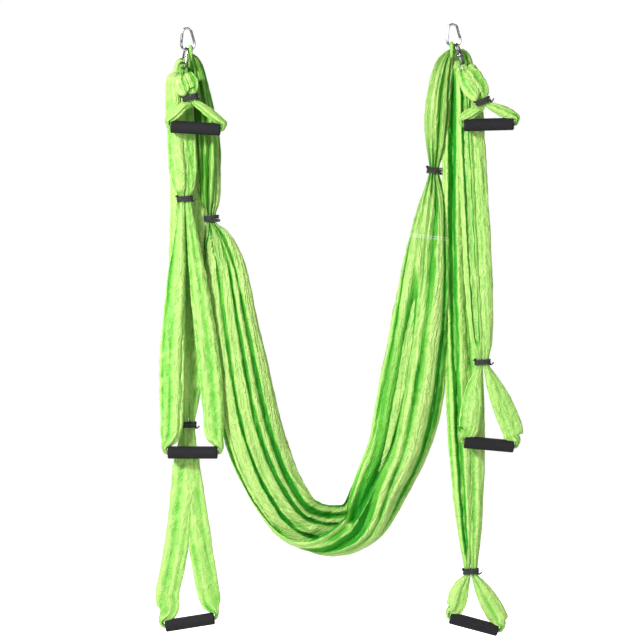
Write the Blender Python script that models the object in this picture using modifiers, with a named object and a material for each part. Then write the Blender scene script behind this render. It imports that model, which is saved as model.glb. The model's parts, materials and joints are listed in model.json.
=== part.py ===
"""Aerial yoga hammock: one long nylon cloth hung as a U from two points, with a short,
a medium and a long sling handle at each end, all carried by steel snap hooks.

Metres, +Z up, the front is -Y. The origin is the left hanging point, where the inside of
the left main hook's top bow bears on its anchor, and +X runs to the right hanging point.
"""
import math

import bmesh
import bpy
from mathutils import Matrix, Vector

# Hanging points
SPAN = 0.638
RIGHT_RISE = 0.0096

# Snap hooks: the main pair hangs on the anchors, the second pair hangs in the main one
MAIN_LENGTH = 0.060
MAIN_WIRE = 0.006
MAIN_TOP_WIDTH = 0.028
MAIN_BOTTOM_WIDTH = 0.038
LEFT_MAIN_LEAN = math.radians(5)
RIGHT_MAIN_LEAN = math.radians(5)
SECOND_LENGTH = 0.056
SECOND_WIRE = 0.005
SECOND_TOP_WIDTH = 0.034
SECOND_BOTTOM_WIDTH = 0.035
LEFT_SECOND_LEAN = math.radians(10)
RIGHT_SECOND_LEAN = math.radians(20)
SECOND_TURN = math.radians(18)
SECOND_SEAT = 0.0045
SECOND_STACK = 0.0069
LONG_SEAT = -0.0011
TONGUE = 0.002
NOSE_LENGTH = 0.0035
HINGE_RISE = 0.0055
FLAT_BELOW_HINGE = 0.0048
GATE_END = 0.003
GATE_GAP = 0.0004
SLOT_CLEARANCE = 0.0003
BORE_RADIUS_SHARE = 0.62
BORE_STOP = 0.0055
RIVET_RADIUS = 0.001
RIVET_HEAD_RADIUS = 0.0018
RIVET_HEAD_HEIGHT = 0.0006
PLUNGER_LENGTH = 0.002
SPRING_WIRE = 0.0005
SPRING_TURNS = 4
SPRING_POINTS = 7

# Hammock cloth, seen as a bundle of lengthwise folds
HAMMOCK_SEAT = 0.0059
HAMMOCK_LOOP = 0.0066
HAMMOCK_LOOP_CORD = 0.0022
HAMMOCK_LOOP_FOOT_SHARE = 0.4
HAMMOCK_LOOP_STEPS = 8
HAMMOCK_DROP = 1.158
BUNCH_WIDTH = 0.160
BUNCH_DEPTH = 0.066
NECK_WIDTH = 0.030
NECK_DEPTH = 0.024
NECK_LENGTH = 0.022
NECK_TAIL = 0.005
HAMMOCK_SET_BACK = 0.030
SET_BACK_WHOLE_SHARE = 0.6
HAMMOCK_FOLDS = 11
HAMMOCK_FOLD_SHARE = 0.26
HAMMOCK_STEPS = 2
# Rows along the cloth: across the span, down the drop, width and depth of the bundle
LEFT_RUN_SHARES = (
    (0.014, 0.020, 0.06, 0.17), (0.032, 0.045, 0.13, 0.30), (0.067, 0.105, 0.26, 0.60),
    (0.071, 0.208, 0.33, 0.80), (0.073, 0.302, 0.29, 0.62))
LEFT_TIE_SHARES = (0.078, 0.349)
SEAT_SHARES = (
    (0.098, 0.391, 0.36, 0.60), (0.127, 0.457, 0.55, 0.80), (0.154, 0.544, 0.68, 0.90),
    (0.210, 0.743, 0.88, 1.00), (0.260, 0.834, 0.86, 1.00), (0.333, 0.915, 0.80, 1.20),
    (0.420, 0.979, 0.80, 1.50), (0.538, 1.000, 0.78, 1.80), (0.648, 0.988, 0.80, 1.50),
    (0.725, 0.911, 0.84, 1.20), (0.789, 0.832, 0.88, 1.00), (0.826, 0.735, 0.92, 1.00),
    (0.853, 0.619, 0.80, 1.00), (0.872, 0.519, 0.66, 0.90), (0.890, 0.420, 0.52, 0.80),
    (0.916, 0.320, 0.36, 0.60))
RIGHT_TIE_SHARES = (0.934, 0.255)
RIGHT_RUN_SHARES = (
    (0.932, 0.202, 0.27, 0.50), (0.929, 0.146, 0.27, 0.60), (0.944, 0.070, 0.20, 0.45),
    (0.966, 0.042, 0.13, 0.30), (0.984, 0.020, 0.06, 0.17))

# Slings: one endless ring of cloth each, bundled to two legs side by side
SLING_LOOP = 0.0071
SLING_LOOP_CORD = 0.003
LONG_LOOP = 0.0059
LONG_LOOP_CORD = 0.002
SHORT_SEAT = 0.005
MEDIUM_SEAT = -0.0045
LEG_GAP = 0.0006
SLING_NECK_HALF_WIDTH = 0.008
SLING_NECK_HALF_DEPTH = 0.007
SLING_FOLD_SHARE = 0.16
SLING_SIDES = 8
ROPE_RADIUS = 0.0084
THROAT = 0.014
THROAT_NARROW_SHARE = 0.9
THROAT_SWELL_SHARE = 1.2
SHOULDER_SHARE = 0.78
LOOP_ANGLES = (60, 30, 0)

# Foam grips
GRIP_LENGTH = 0.120
GRIP_RADIUS = 0.015
GRIP_BORE = 0.009
GRIP_EDGE = 0.002
GRIP_STEPS = 18
EXIT_REACH = 0.0005
EXIT_BEND = 0.006
EXIT_HALF_WIDTH = 0.0045
EXIT_ANGLES = (90, 45, 0)
BORE_ROW_SHARE = 0.333

# Elastic ties, wound round each neck
CORD_RADIUS = 0.0015
CORD_PITCH = 0.0038
CORD_TURNS = 3.5
CORD_POINTS = 12
CORD_CLEARANCE = 0.0006

OVERRUN = 0.001
WELD = 0.000001
ARC_POINTS = 10
DOME_ANGLES = (80, 52, 26, 0)

X = Vector((1, 0, 0))
Y = Vector((0, 1, 0))
Z = Vector((0, 0, 1))
SIDES = {"left": -1, "right": 1}

# Each sling: how far its tie and its grip hang below its hook, how far they stand to +X,
# where its band runs, and how its grip tilts. Depth is its own place behind the front.
SLINGS = {
    "left_short": dict(
        shoulder_drop=0.038, shoulder_shift=0.006, tie_drop=0.072, tie_shift=0.017,
        grip_drop=0.145, grip_shift=0.030, tilt=math.radians(3.5), band=0.0085, leg=0.012,
        half_depth=0.008, leg_depth=0.009, shoulder_depth=-0.028, tie_depth=-0.036,
        grip_depth=-0.036),
    "left_medium": dict(
        shoulder_drop=0.060, shoulder_shift=-0.008, tie_drop=0.313, tie_shift=0.006,
        grip_drop=0.922, grip_shift=0.025, tilt=0.0, band=0.014, leg=0.020,
        half_depth=0.010, leg_depth=0.009, shoulder_depth=-0.002, tie_depth=-0.003,
        grip_depth=-0.008),
    "left_long": dict(
        shoulder_drop=0.095, shoulder_shift=0.000, tie_drop=0.8985, tie_shift=-0.002,
        grip_drop=1.374, grip_shift=0.001, tilt=math.radians(-9), band=0.0105, leg=0.018,
        half_depth=0.010, leg_depth=0.010, shoulder_depth=0.036, tie_depth=0.031,
        grip_depth=0.031),
    "right_short": dict(
        shoulder_drop=0.046, shoulder_shift=0.016, tie_drop=0.094, tie_shift=0.047,
        grip_drop=0.149, grip_shift=0.061, tilt=math.radians(-1.5), band=0.014, leg=0.009,
        half_depth=0.008, leg_depth=0.009, shoulder_depth=-0.028, tie_depth=-0.036,
        grip_depth=-0.036),
    "right_medium": dict(
        shoulder_drop=0.060, shoulder_shift=0.018, tie_drop=0.718, tie_shift=0.045,
        grip_drop=0.915, grip_shift=0.060, tilt=math.radians(5), band=0.015, leg=0.016,
        half_depth=0.010, leg_depth=0.009, shoulder_depth=-0.002, tie_depth=-0.003,
        grip_depth=-0.008),
    "right_long": dict(
        shoulder_drop=0.095, shoulder_shift=0.006, tie_drop=1.261, tie_shift=0.042,
        grip_drop=1.388, grip_shift=0.050, tilt=math.radians(15), band=0.012, leg=0.014,
        half_depth=0.010, leg_depth=0.010, shoulder_depth=0.036, tie_depth=0.031,
        grip_depth=0.031),
}
# Where the band's rows lie between shoulder and neck, and the legs' rows between neck and grip
BAND_ROW_SHARES = {"short": (0.5,), "medium": (0.25, 0.5, 0.75), "long": (0.2, 0.4, 0.6, 0.8)}
LEG_ROW_SHARES = {"short": (0.5,), "medium": (0.3, 0.75), "long": (0.35, 0.8)}
BAND_SWELL_SHARES = {"short": 0.88, "medium": 1.0, "long": 1.0}
RIGHT_LONG_LATE_SHARE = 0.35
THROAT_LEAN_SHARES = {"short": 0.33, "medium": 0.33, "long": 1.0}


def start_scene():
    """Remove the scene's objects and make the collections."""
    for item in list(bpy.data.objects):
        bpy.data.objects.remove(item, do_unlink=True)
    made = []
    for name in ("aerial_hammock", "cutters"):
        collection = bpy.data.collections.new(name)
        bpy.context.scene.collection.children.link(collection)
        made.append(collection)
    return made


PARTS, CUTTERS = start_scene()


def material(name, colour, roughness, metallic=0.0):
    """One Principled material."""
    made = bpy.data.materials.new(name)
    made.use_nodes = True
    shader = made.node_tree.nodes["Principled BSDF"]
    shader.inputs["Base Color"].default_value = (*colour, 1.0)
    shader.inputs["Roughness"].default_value = roughness
    shader.inputs["Metallic"].default_value = metallic
    return made


NYLON = material("green_nylon", (0.30, 0.75, 0.08), 0.45)
STEEL = material("zinc_plated_steel", (0.72, 0.73, 0.75), 0.25, 1.0)
FOAM = material("black_foam", (0.02, 0.02, 0.022), 0.85)
ELASTIC = material("black_elastic", (0.015, 0.015, 0.015), 0.7)


def add(name, mesh, finish=None, collection=PARTS):
    """Make an object of a mesh, smooth except at its sharp edges."""
    made = bpy.data.objects.new(name, mesh)
    collection.objects.link(made)
    if finish:
        mesh.materials.append(finish)
        mesh.shade_smooth()
        mesh.set_sharp_from_angle(angle=math.radians(40))
    return made


def cutter(name, mesh, target, operation="DIFFERENCE"):
    """Cut or join a target with a hidden helper."""
    tool = add(name, mesh, collection=CUTTERS)
    tool.hide_render = True
    tool.display_type = "WIRE"
    step = target.modifiers.new(name, "BOOLEAN")
    step.operation = operation
    step.object = tool
    return tool


def frame_matrix(place, across, along, normal):
    """A placement whose X, Y and Z axes are the three directions."""
    turn = Matrix((across, along, normal)).transposed()
    return Matrix.Translation(place) @ turn.to_4x4()


def box_mesh(name, boxes):
    """Boxes given by two corners each."""
    grown = bmesh.new()
    for low, high in boxes:
        middle = (Vector(low) + Vector(high)) / 2
        size = Vector(high) - Vector(low)
        place = Matrix.Translation(middle) @ Matrix.Diagonal((*size, 1))
        bmesh.ops.create_cube(grown, size=1, matrix=place)
    mesh = bpy.data.meshes.new(name)
    grown.to_mesh(mesh)
    grown.free()
    return mesh


def cylinder_mesh(name, radius, low, high, place=Matrix(), sides=16):
    """A cylinder along its own Z from low to high."""
    grown = bmesh.new()
    seat = place @ Matrix.Translation((0, 0, (low + high) / 2))
    bmesh.ops.create_cone(grown, cap_ends=True, segments=sides, radius1=radius,
                          radius2=radius, depth=high - low, matrix=seat)
    mesh = bpy.data.meshes.new(name)
    grown.to_mesh(mesh)
    grown.free()
    return mesh


def turned(name, profile, finish, steps, closed=False):
    """A profile of radius and height, turned about Z, running down its outer side."""
    mesh = bpy.data.meshes.new(name)
    edges = [(i, i + 1) for i in range(len(profile) - 1)]
    if closed:
        edges.append((len(profile) - 1, 0))
    mesh.from_pydata([(radius, 0, height) for radius, height in profile], edges, [])
    made = add(name, mesh, finish)
    screw = made.modifiers.new("turn", "SCREW")
    screw.steps = steps
    screw.render_steps = steps
    screw.use_merge_vertices = True
    screw.merge_threshold = WELD
    screw.use_smooth_shade = True
    return made


def tube_mesh(name, points, radius, resolution, shares=None):
    """A closed round tube through points, as a mesh with welded caps."""
    curve = bpy.data.curves.new(name, "CURVE")
    curve.dimensions = "3D"
    curve.bevel_depth = radius
    curve.bevel_resolution = resolution
    curve.use_fill_caps = True
    spline = curve.splines.new("POLY")
    spline.points.add(len(points) - 1)
    for index, point in enumerate(points):
        spline.points[index].co = (*point, 1)
        if shares:
            spline.points[index].radius = shares[index]
    guide = bpy.data.objects.new(name, curve)
    CUTTERS.objects.link(guide)
    bpy.context.view_layer.update()
    evaluated = guide.evaluated_get(bpy.context.evaluated_depsgraph_get())
    mesh = bpy.data.meshes.new_from_object(evaluated)
    grown = bmesh.new()
    grown.from_mesh(mesh)
    bmesh.ops.remove_doubles(grown, verts=grown.verts, dist=WELD)
    bmesh.ops.recalc_face_normals(grown, faces=grown.faces)
    grown.to_mesh(mesh)
    grown.free()
    bpy.data.objects.remove(guide, do_unlink=True)
    bpy.data.curves.remove(curve)
    return mesh


class Hook:
    """One snap hook. In its own plane u points to the gate and v points up; the origin is
    the top of the wire's centre line, and n is square to both."""

    def __init__(self, name, sizes, place, across, up):
        length, wire, top_width, bottom_width = sizes
        self.name = name
        self.wire = wire / 2
        self.top = (top_width - wire) / 2
        self.bottom = (bottom_width - wire) / 2
        self.reach = length - wire
        self.slant = math.asin((self.bottom - self.top) / (self.reach - self.top - self.bottom))
        self.matrix = frame_matrix(place, across, up, across.cross(up))
        self.top_centre = Vector((0, -self.top))
        self.bottom_centre = Vector((0, self.bottom - self.reach))
        self.outward = Vector((math.cos(self.slant), math.sin(self.slant)))
        self.along = Vector((-math.sin(self.slant), math.cos(self.slant)))
        self.top_turn = self.top_centre + self.outward * self.top
        self.bottom_turn = self.bottom_centre + self.outward * self.bottom
        self.hinge = self.bottom_turn + self.along * HINGE_RISE
        self.gate_length = (self.top_turn - self.hinge).length - GATE_GAP

    def world(self, point, normal=0.0):
        """A point of the hook's plane, in the world."""
        return self.matrix @ Vector((point[0], point[1], normal))

    def seat(self, offset):
        """The wire's centre on the bottom bow, at a distance from the middle."""
        drop = math.sqrt(self.bottom ** 2 - offset ** 2)
        return self.world(self.bottom_centre + Vector((offset, -drop)))

    def arc(self, centre, radius, start, end):
        """Points on a bow, both ends included."""
        steps = ARC_POINTS - 1
        angles = [start + (end - start) * step / steps for step in range(ARC_POINTS)]
        return [centre + Vector((math.cos(a), math.sin(a))) * radius for a in angles]

    def dome(self):
        """How far the round end's rings lie from its centre, and how thick they are."""
        angles = [math.radians(angle) for angle in DOME_ANGLES]
        return [(self.wire * math.sin(a), math.cos(a)) for a in angles]

    def wire_path(self):
        """The bent wire from the hinge tongue round to the nose, with its thickness."""
        path = [(self.hinge + self.along * far, share) for far, share in self.dome()]
        around = self.arc(self.bottom_centre, self.bottom, self.slant, -math.pi - self.slant)
        around += self.arc(self.top_centre, self.top, math.pi - self.slant, self.slant)
        path += [(point, 1.0) for point in around]
        tip = self.top_turn - self.along * (NOSE_LENGTH - self.wire)
        path += [(tip - self.along * far, share) for far, share in reversed(self.dome())]
        return path

    def line_matrix(self, foot):
        """A placement whose Z runs up the gate's line and whose Y is the normal."""
        across = Vector((self.outward.x, self.outward.y, 0))
        along = Vector((self.along.x, self.along.y, 0))
        normal = along.cross(across)
        return self.matrix @ frame_matrix(Vector((foot.x, foot.y, 0)), across, normal, along)

    def make_body(self):
        """The wire, with a flat tongue and a rivet hole at one end and a flat nose."""
        path = self.wire_path()
        points = [self.world(point) for point, _ in path]
        mesh = tube_mesh(self.name, points, self.wire, 2, [share for _, share in path])
        body = add(self.name + "_body", mesh, STEEL)
        half = TONGUE / 2
        far = self.wire + OVERRUN
        hinge = [((-far, side * half, -FLAT_BELOW_HINGE), (far, side * far, far))
                 for side in (-1, 1)]
        tool = cutter(self.name + "_tongue_flats", box_mesh("flats", ordered(hinge)), body)
        tool.matrix_world = self.line_matrix(self.hinge)
        nose = [((-far, side * half, -NOSE_LENGTH - OVERRUN), (far, side * far, 0))
                for side in (-1, 1)]
        tool = cutter(self.name + "_nose_flats", box_mesh("flats", ordered(nose)), body)
        tool.matrix_world = self.line_matrix(self.top_turn)
        hole = cylinder_mesh("hole", RIVET_RADIUS + SLOT_CLEARANCE, -far, far, sides=12)
        tool = cutter(self.name + "_tongue_hole", hole, body)
        tool.matrix_world = self.rivet_matrix()
        return body

    def rivet_matrix(self):
        """A placement on the hinge line, Z along the rivet."""
        return self.matrix @ Matrix.Translation((self.hinge.x, self.hinge.y, 0))

    def make_gate(self):
        """The gate: a round bar, bored for its spring and slotted at both ends."""
        bar = cylinder_mesh(self.name, self.wire, -GATE_END, self.gate_length)
        gate = add(self.name + "_gate", bar, STEEL)
        gate.matrix_world = self.line_matrix(self.hinge)
        far = self.wire + OVERRUN
        half = TONGUE / 2 + SLOT_CLEARANCE
        top = self.gate_length
        slots = [((-far, -half, -GATE_END - OVERRUN), (far, half, self.slot_top())),
                 ((-far, -half, top - NOSE_LENGTH - 2 * GATE_GAP), (far, half, top + OVERRUN))]
        bore = cylinder_mesh("bore", self.bore(), -GATE_END - OVERRUN, self.bore_top(), sides=12)
        hole = cylinder_mesh("hole", RIVET_RADIUS + SLOT_CLEARANCE, -far, far, sides=12)
        for label, mesh in (("slots", box_mesh("slots", slots)), ("bore", bore)):
            tool = cutter(self.name + "_gate_" + label, mesh, gate)
            tool.matrix_world = gate.matrix_world
        tool = cutter(self.name + "_gate_hole", hole, gate)
        tool.matrix_world = self.rivet_matrix()
        return gate

    def bore(self):
        """The radius of the gate's bore."""
        return self.wire * BORE_RADIUS_SHARE

    def slot_top(self):
        """Where the hinge slot stops, just clear of the round tongue."""
        return self.wire + SLOT_CLEARANCE

    def bore_top(self):
        """Where the bore stops, well below the top slot."""
        return self.gate_length - BORE_STOP

    def make_rivet(self):
        """The hinge rivet, with a low head on each side of the gate."""
        seat = self.wire + SLOT_CLEARANCE
        high = seat + RIVET_HEAD_HEIGHT
        profile = [(0, high), (RIVET_HEAD_RADIUS, high), (RIVET_HEAD_RADIUS, seat),
                   (RIVET_RADIUS, seat), (RIVET_RADIUS, -seat), (RIVET_HEAD_RADIUS, -seat),
                   (RIVET_HEAD_RADIUS, -high), (0, -high)]
        rivet = turned(self.name + "_rivet", profile, STEEL, 12)
        rivet.matrix_world = self.rivet_matrix()
        return rivet

    def make_plunger(self):
        """The plunger that the spring holds against the tongue."""
        radius = self.bore() - SLOT_CLEARANCE
        low = self.slot_top()
        profile = [(0, low + PLUNGER_LENGTH), (radius, low + PLUNGER_LENGTH),
                   (radius, low), (0, low)]
        plunger = turned(self.name + "_plunger", profile, STEEL, 12)
        plunger.matrix_world = self.line_matrix(self.hinge)
        return plunger

    def make_spring(self):
        """The coil spring between the plunger and the bore's end."""
        low = self.slot_top() + PLUNGER_LENGTH + SLOT_CLEARANCE + SPRING_WIRE / 2
        high = self.bore_top() - SLOT_CLEARANCE - SPRING_WIRE / 2
        radius = self.bore() - SLOT_CLEARANCE - SPRING_WIRE / 2
        count = SPRING_TURNS * SPRING_POINTS
        points = []
        for step in range(count + 1):
            angle = step * math.tau / SPRING_POINTS
            height = low + (high - low) * step / count
            points.append((radius * math.cos(angle), radius * math.sin(angle), height))
        mesh = tube_mesh(self.name + "_spring", points, SPRING_WIRE / 2, 0)
        spring = add(self.name + "_spring", mesh, STEEL)
        spring.matrix_world = self.line_matrix(self.hinge)
        return spring


def ordered(boxes):
    """The same boxes, each with its low corner first."""
    made = []
    for first, second in boxes:
        pairs = list(zip(first, second))
        made.append((tuple(min(p) for p in pairs), tuple(max(p) for p in pairs)))
    return made


def main_hook(side):
    """The hook on the anchor, leaning in the front plane, its gate to the outside."""
    place = Vector((0, 0, MAIN_WIRE / 2))
    lean = LEFT_MAIN_LEAN
    if side > 0:
        place += Vector((SPAN, 0, RIGHT_RISE))
        lean = RIGHT_MAIN_LEAN
    up = Vector((-math.sin(lean), 0, math.cos(lean)))
    across = side * Vector((math.cos(lean), 0, math.sin(lean)))
    name = "main_hook_" + ("right" if side > 0 else "left")
    sizes = (MAIN_LENGTH, MAIN_WIRE, MAIN_TOP_WIDTH, MAIN_BOTTOM_WIDTH)
    return Hook(name, sizes, place, across, up)


def second_hook(side, main):
    """The hook that hangs in the main one, turned so that its gate faces the front."""
    lean = RIGHT_SECOND_LEAN if side > 0 else LEFT_SECOND_LEAN
    place = main.seat(SECOND_SEAT) + Z * SECOND_STACK
    up = Vector((-side * math.sin(lean), 0, math.cos(lean)))
    front = Vector((-side * math.sin(SECOND_TURN), -math.cos(SECOND_TURN), 0))
    across = (front - up * front.dot(up)).normalized()
    name = "second_hook_" + ("right" if side > 0 else "left")
    sizes = (SECOND_LENGTH, SECOND_WIRE, SECOND_TOP_WIDTH, SECOND_BOTTOM_WIDTH)
    return Hook(name, sizes, place, across, up)


class Row:
    """One cross-section of a cloth bundle: where it is, how wide and deep, how folded."""

    def __init__(self, place, half_width, half_depth, face=Y, fold=0.0, steps=1):
        self.place = Vector(place)
        self.half_width = half_width
        self.half_depth = half_depth
        self.face = Vector(face)
        self.fold = fold
        self.steps = steps

    def values(self):
        """The row as a list, for smoothing."""
        return [*self.place, self.half_width, self.half_depth, *self.face, self.fold]


def between(rows, start, share):
    """A row between two, on a smooth curve through its neighbours."""
    lists = [row.values() for row in rows[start:start + 4]]
    made = []
    for before, first, second, after in zip(*lists):
        slope = (second - before) / 2
        next_slope = (after - first) / 2
        rise = second - first
        made.append(first + slope * share
                    + (3 * rise - 2 * slope - next_slope) * share ** 2
                    + (slope + next_slope - 2 * rise) * share ** 3)
    return Row(made[0:3], made[3], made[4], made[5:8], made[8])


def smooth_rows(rows, ring):
    """Fill each span with the number of steps that its first row asks for."""
    if ring:
        padded = [rows[-1]] + rows + rows[:2]
        spans = len(rows)
    else:
        padded = [rows[0]] + rows + [rows[-1]]
        spans = len(rows) - 1
    made = []
    for span in range(spans):
        count = rows[span].steps
        made += [between(padded, span, step / count) for step in range(count)]
    if not ring:
        made.append(rows[-1])
    return made


def section(row, tangent, sides):
    """The points of one cross-section; every second point is drawn in by the fold."""
    face = (row.face - tangent * row.face.dot(tangent)).normalized()
    across = tangent.cross(face)
    points = []
    for index in range(sides):
        angle = math.tau * index / sides
        size = 1 - row.fold * (index % 2)
        points.append(row.place + across * (row.half_width * size * math.cos(angle))
                      + face * (row.half_depth * size * math.sin(angle)))
    return points


def loft(name, rows, sides, ring, finish):
    """A closed bundle through the rows, either a ring or a strip with two capped ends."""
    count = len(rows)
    grown = bmesh.new()
    loops = []
    for index, row in enumerate(rows):
        after = rows[(index + 1) % count] if ring else rows[min(index + 1, count - 1)]
        before = rows[index - 1] if ring else rows[max(index - 1, 0)]
        tangent = (after.place - before.place).normalized()
        loops.append([grown.verts.new(point) for point in section(row, tangent, sides)])
    for index in range(count if ring else count - 1):
        first = loops[index]
        second = loops[(index + 1) % count]
        for side in range(sides):
            turn = (side + 1) % sides
            grown.faces.new((first[side], first[turn], second[turn], second[side]))
    if not ring:
        grown.faces.new(list(reversed(loops[0])))
        grown.faces.new(loops[-1])
    bmesh.ops.triangulate(grown, faces=grown.faces)
    bmesh.ops.recalc_face_normals(grown, faces=grown.faces)
    mesh = bpy.data.meshes.new(name)
    grown.to_mesh(mesh)
    grown.free()
    return add(name, mesh, finish)


def hammock_rows(left, right):
    """The cloth's rows from one hook to the other, with a tight neck at each tie."""
    across = right - left

    def place(shares):
        over, down = shares[0], shares[1]
        return left + across * over - Z * (HAMMOCK_DROP * down)

    def bundle(shares, steps=1):
        back = Y * (HAMMOCK_SET_BACK * min(1, shares[3] / SET_BACK_WHOLE_SHARE))
        return Row(place(shares) + back, BUNCH_WIDTH * shares[2] / 2, BUNCH_DEPTH * shares[3] / 2,
                   fold=HAMMOCK_FOLD_SHARE, steps=steps)

    def neck(shares, direction):
        centre = place(shares) + Y * HAMMOCK_SET_BACK
        ends = [centre + direction * (NECK_LENGTH / 2 * way) for way in (-1, 1)]
        return [Row(end, NECK_WIDTH / 2, NECK_DEPTH / 2) for end in ends]

    down = (place(SEAT_SHARES[0]) - place(LEFT_RUN_SHARES[-1])).normalized()
    climb = (place(RIGHT_RUN_SHARES[0]) - place(SEAT_SHARES[-1])).normalized()
    left_neck = neck(LEFT_TIE_SHARES, down)
    right_neck = neck(RIGHT_TIE_SHARES, climb)
    rows = [bundle(shares) for shares in LEFT_RUN_SHARES]
    rows += left_neck
    rows += [bundle(shares, HAMMOCK_STEPS) for shares in SEAT_SHARES[:-1]]
    rows += [bundle(SEAT_SHARES[-1])]
    rows += right_neck
    rows += [bundle(shares) for shares in RIGHT_RUN_SHARES]
    return rows, left_neck, right_neck


def hammock_end_loop(name, seat, first, second):
    """The end of the cloth, gathered to a cord that passes over the main hook's wire."""
    radius = HAMMOCK_LOOP
    angles = [math.pi * step / HAMMOCK_LOOP_STEPS for step in range(HAMMOCK_LOOP_STEPS + 1)]
    over = [seat + Y * (-radius * math.cos(a)) + Z * (radius * math.sin(a)) for a in angles]
    foot = first.place.lerp(second.place, HAMMOCK_LOOP_FOOT_SHARE)
    apart = Y * (HAMMOCK_LOOP_CORD + LEG_GAP)
    points = [foot - apart] + over + [foot + apart]
    return tube_mesh(name, points, HAMMOCK_LOOP_CORD, 2)


def make_hammock(left_seat, right_seat):
    """The hammock cloth: a pleated bundle with a loop at each end."""
    rows, left_neck, right_neck = hammock_rows(left_seat, right_seat)
    cloth = loft("hammock_cloth", smooth_rows(rows, False), 2 * HAMMOCK_FOLDS, False, NYLON)
    ends = (("left", left_seat, rows[0], rows[1]), ("right", right_seat, rows[-1], rows[-2]))
    for label, seat, first, second in ends:
        name = "hammock_end_loop_" + label
        cutter(name, hammock_end_loop(name, seat, first, second), cloth, "UNION")
    return cloth, left_neck, right_neck


class Sling:
    """One sling: an endless ring of cloth over a hook, tied to two legs that hold a grip."""

    def __init__(self, name, seat, across, radius, cord):
        self.name = name
        self.kind = name.split("_")[1]
        self.sizes = SLINGS[name]
        self.seat = seat
        self.across = across
        self.radius = radius
        self.cord = cord
        size = self.sizes
        self.shoulder = self.point(size["shoulder_drop"], size["shoulder_shift"],
                                   size["shoulder_depth"])
        self.tie = self.point(size["tie_drop"], size["tie_shift"], size["tie_depth"])
        self.grip = self.point(size["grip_drop"], size["grip_shift"], size["grip_depth"])
        self.grip_axis = Vector((math.cos(size["tilt"]), 0, -math.sin(size["tilt"])))
        self.grip_up = self.grip_axis.cross(Y)
        self.neck_axis = self.find_neck_axis()
        self.neck_side = Y.cross(self.neck_axis)

    def point(self, drop, shift, depth):
        """A place below the hook; the depth is measured from the front plane."""
        return Vector((self.seat.x + shift, depth, self.seat.z - drop))

    def find_neck_axis(self):
        """The neck follows the line from shoulder to grip, in the front plane."""
        line = self.shoulder - self.grip
        return Vector((line.x, 0, line.z)).normalized()

    def loop_rows(self, way):
        """From the top of the hook's wire down one side of it."""
        rows = []
        for angle in LOOP_ANGLES:
            turn = math.radians(angle)
            side = self.across * (way * self.radius * math.cos(turn))
            rows.append(Row(self.seat + side + Z * (self.radius * math.sin(turn)),
                            self.cord, self.cord, face=Z.cross(self.across)))
        side = self.across * (way * self.radius)
        throat = self.seat + side * THROAT_NARROW_SHARE - Z * THROAT
        lean = (self.shoulder - self.seat) * (THROAT / self.sizes["shoulder_drop"])
        lean *= THROAT_LEAN_SHARES[self.kind]
        throat += Vector((lean.x, lean.y, 0))
        swell = self.cord * THROAT_SWELL_SHARE
        rows.append(Row(throat, swell, swell, face=Z.cross(self.across)))
        return rows

    def band_rows(self, way):
        """The band's leg on one side, from the shoulder to just above the neck."""
        size = self.sizes
        half = size["band"]
        top = self.shoulder
        end = self.tie + self.neck_axis * (NECK_LENGTH / 2)
        side = Y.cross((top - end).normalized())
        rows = []
        for share in (0,) + BAND_ROW_SHARES[self.kind]:
            bend = share
            if self.name == "right_long" and share < 1:
                bend = max(0, share - RIGHT_LONG_LATE_SHARE) / (1 - RIGHT_LONG_LATE_SHARE)
            centre = Vector((top.x + (end.x - top.x) * bend,
                             top.y + (end.y - top.y) * share,
                             top.z + (end.z - top.z) * share))
            offset = side * (way * (half + LEG_GAP / 2))
            swell = half * (SHOULDER_SHARE if share == 0 else BAND_SWELL_SHARES[self.kind])
            rows.append(Row(centre + offset, swell, size["half_depth"], fold=SLING_FOLD_SHARE))
        return rows

    def neck_rows(self, way):
        """Both ends of the neck, where the tie is wound."""
        offset = self.neck_side * (way * (SLING_NECK_HALF_WIDTH + LEG_GAP / 2))
        rows = []
        for reach in (NECK_LENGTH / 2, -NECK_LENGTH / 2 - NECK_TAIL):
            place = self.tie + self.neck_axis * reach + offset
            rows.append(Row(place, SLING_NECK_HALF_WIDTH, SLING_NECK_HALF_DEPTH))
        return rows

    def leg_rows(self, way):
        """From the neck out and down to the grip's end, and round into its bore."""
        size = self.sizes
        axis = self.grip_axis * way
        bend = GRIP_LENGTH / 2 + EXIT_REACH
        outer = self.grip + axis * (bend + EXIT_BEND)
        head = outer + self.grip_up * (GRIP_RADIUS + EXIT_HALF_WIDTH)
        start = self.tie - self.neck_axis * (NECK_LENGTH / 2 + NECK_TAIL)
        start += self.neck_side * (way * SLING_NECK_HALF_WIDTH)
        rows = []
        for share in LEG_ROW_SHARES[self.kind]:
            place = start.lerp(head, share)
            swell = size["leg"]
            least = abs((place - start.lerp(self.grip, share)).dot(self.grip_axis))
            swell = min(swell, least - LEG_GAP) if least > LEG_GAP else swell
            rows.append(Row(place, max(swell, SLING_NECK_HALF_WIDTH), size["leg_depth"],
                            fold=SLING_FOLD_SHARE))
        rows.append(Row(head, EXIT_HALF_WIDTH, size["leg_depth"]))
        for angle in EXIT_ANGLES:
            turn = math.radians(angle)
            place = (self.grip + axis * (bend + EXIT_BEND * math.sin(turn))
                     + self.grip_up * (EXIT_BEND * (1 - math.cos(turn))))
            rows.append(Row(place, EXIT_HALF_WIDTH, ROPE_RADIUS))
        inner = self.grip + axis * (GRIP_LENGTH * BORE_ROW_SHARE)
        rows.append(Row(inner, ROPE_RADIUS, ROPE_RADIUS))
        return rows

    def side_rows(self, way):
        """One whole side, from the hook to the bore."""
        return (self.loop_rows(way) + self.band_rows(way) + self.neck_rows(way)
                + self.leg_rows(way))

    def make(self):
        """The sling's cloth ring."""
        apex = Row(self.seat + Z * self.radius, self.cord, self.cord,
                   face=Z.cross(self.across))
        rows = [apex] + self.side_rows(-1) + list(reversed(self.side_rows(1)))
        return loft(self.name + "_sling", smooth_rows(rows, True), SLING_SIDES, True, NYLON)

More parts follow.
